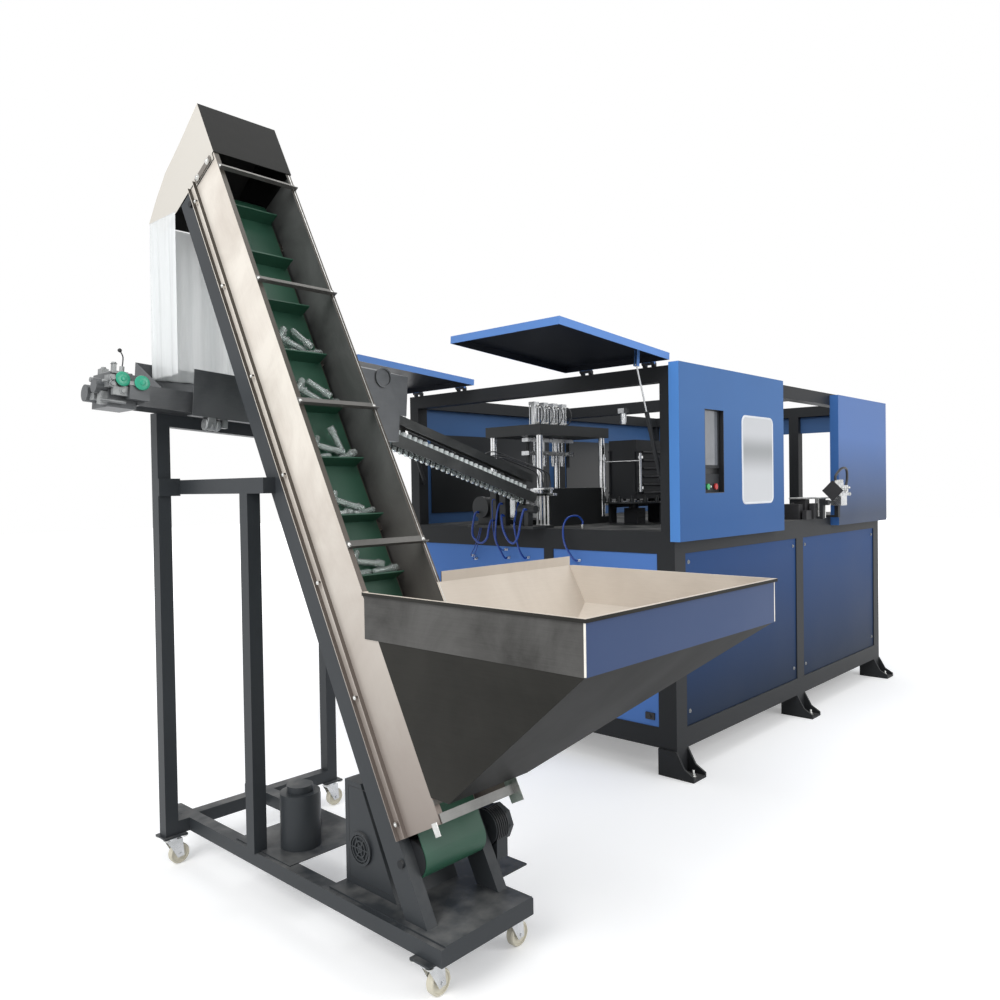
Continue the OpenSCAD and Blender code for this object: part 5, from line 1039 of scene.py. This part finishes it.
# Sill hoses. Blue air hoses that leave the deck and the loading station, hang
# over the beam and end in push-in fittings screwed to the end panels.
PANEL_FACE_X, FITTING_FOOT = 0.0058, 1.1952
sill_runs = [
    [(-96.5, 1032, 1330), (-118, 1032, 1330), (-134, 1036, 1290), (-138, 1045, 1215), (-124, 1060, 1130),
     (-64, 1072, 1052), (-34, 1076, 1022), (-13, 1076, 1022)],
    [(-34.3, 950, 1352), (-48, 950, 1352), (-74, 944, 1300), (-116, 928, 1225), (-118, 918, 1160),
     (-84, 924, 1080), (-36, 930, 1030), (-13, 930, 1030)],
    [(90, 620, 1209), (90, 620, 1236), (62, 634, 1262), (10, 654, 1254), (-22, 662, 1206), (-27, 652, 1120),
     (-32, 600, 1050), (-24, 578, 1030), (-13, 576, 1030)]]
thin_runs = [
    [(-96.5, 1086, 1352), (-118, 1086, 1352), (-128, 1080, 1290), (-128, 1076, 1190), (-96, 1086, 1110),
     (-40, 1092, 1068), (-13, 1092, 1068)],
    [(70, 1292, 1209), (70, 1292, 1222), (40, 1292, 1236), (2, 1292, 1226), (-14, 1292, 1170), (-24, 1320, 1080),
     (-26, 1352, 1030), (-13, 1355, 1022)],
    [(96, 1276, 1209), (96, 1276, 1226), (60, 1276, 1242), (4, 1276, 1232), (-18, 1276, 1170), (-30, 1300, 1070),
     (-30, 1330, 1012), (-13, 1333, 1004)]]
end_spots = [((PANEL_FACE_X, run[-1][1] * MM, run[-1][2] * MM), (-1, 0, 0)) for run in sill_runs + thin_runs]
deck_spots = [((run[0][0] * MM, run[0][1] * MM, FITTING_FOOT), UP_Z) for run in (sill_runs[2], *thin_runs[1:])]
build_piece("sill_hoses", [tube_along(smooth_run(run, steps) * MM, radius * MM, sides) for runs, steps, radius, sides in
                           ((sill_runs, 70, 5.2, 14), (thin_runs, 60, 2.6, 12)) for run in runs],
            blue_tube, "hose_blue", 60)
build_piece("sill_fittings", set_at([fitting], end_spots + deck_spots), *ZINC, 35)


# Rail's air lines. Black hoses with a shine that leave the rail's cover, arch
# low over its last part and drop to the transfer block.
def rail_line(start, side, rise):
    """Marks of one air line from the cover's top to the block: start and rise in millimetres, side in metres."""
    block_top = np.array((0.047, 0.848 + side * 1.6, 1.4155))
    return [in_axes(*RAIL, start, side * 600, 89), in_axes(*RAIL, start + 4, side * 700 - 4, 97),
            in_axes(*RAIL, start + 60, side * 900 - 14, 100 + rise),
            in_axes(*RAIL, start + 170, side * 1100 - 28, 104 + rise),
            block_top + (-0.040, -0.004, 0.078 + rise * MM), block_top + (-0.006, 0, 0.040), block_top]


build_piece("rail_air_lines", [tube_along(smooth_run(rail_line(start, side, rise), 60), 3.4 * MM, 12)
                               for start, side, rise in ((740, -0.030, 8), (700, -0.014, 16), (660, 0.004, 24),
                                                         (720, 0.022, 12))], *NYLON, 60)


# Hopper's band. A second sheet folded round the straight top of the hopper,
# spot-welded, so that its lower edge stands proud of the funnel.
# Painted shade and reflection: the band is painted dark like the hopper's outside, with a slate-blue painted reflection
# on its faces that look along -Y.
band_steel = sheet_steel("band_sheet", (0.034, 0.033, 0.031), (0.095, 0.093, 0.089), 0.40, UPWARDS, smear=3.2,
                         metallic=0.1, facing=((0.044, 0.072, 0.160), DOWN_Y, "Towards"), shine=0.12)
BAND_T = 0.0016
BAND_LOW, BAND_TOP, BAND_FRONT = RIM_Z - 0.141, RIM_Z - 0.0102, HOPPER_Y - BAND_T
near, far = HOPPER_X
build_piece("hopper_band", [slab((left, BAND_FRONT, BAND_LOW), (right, back, BAND_TOP)) for left, right, back in
                            ((near - BAND_T, near, RIM_BACK), (near, far, HOPPER_Y), (far, far + BAND_T, RIM_BACK))],
            band_steel, "stainless", 30)
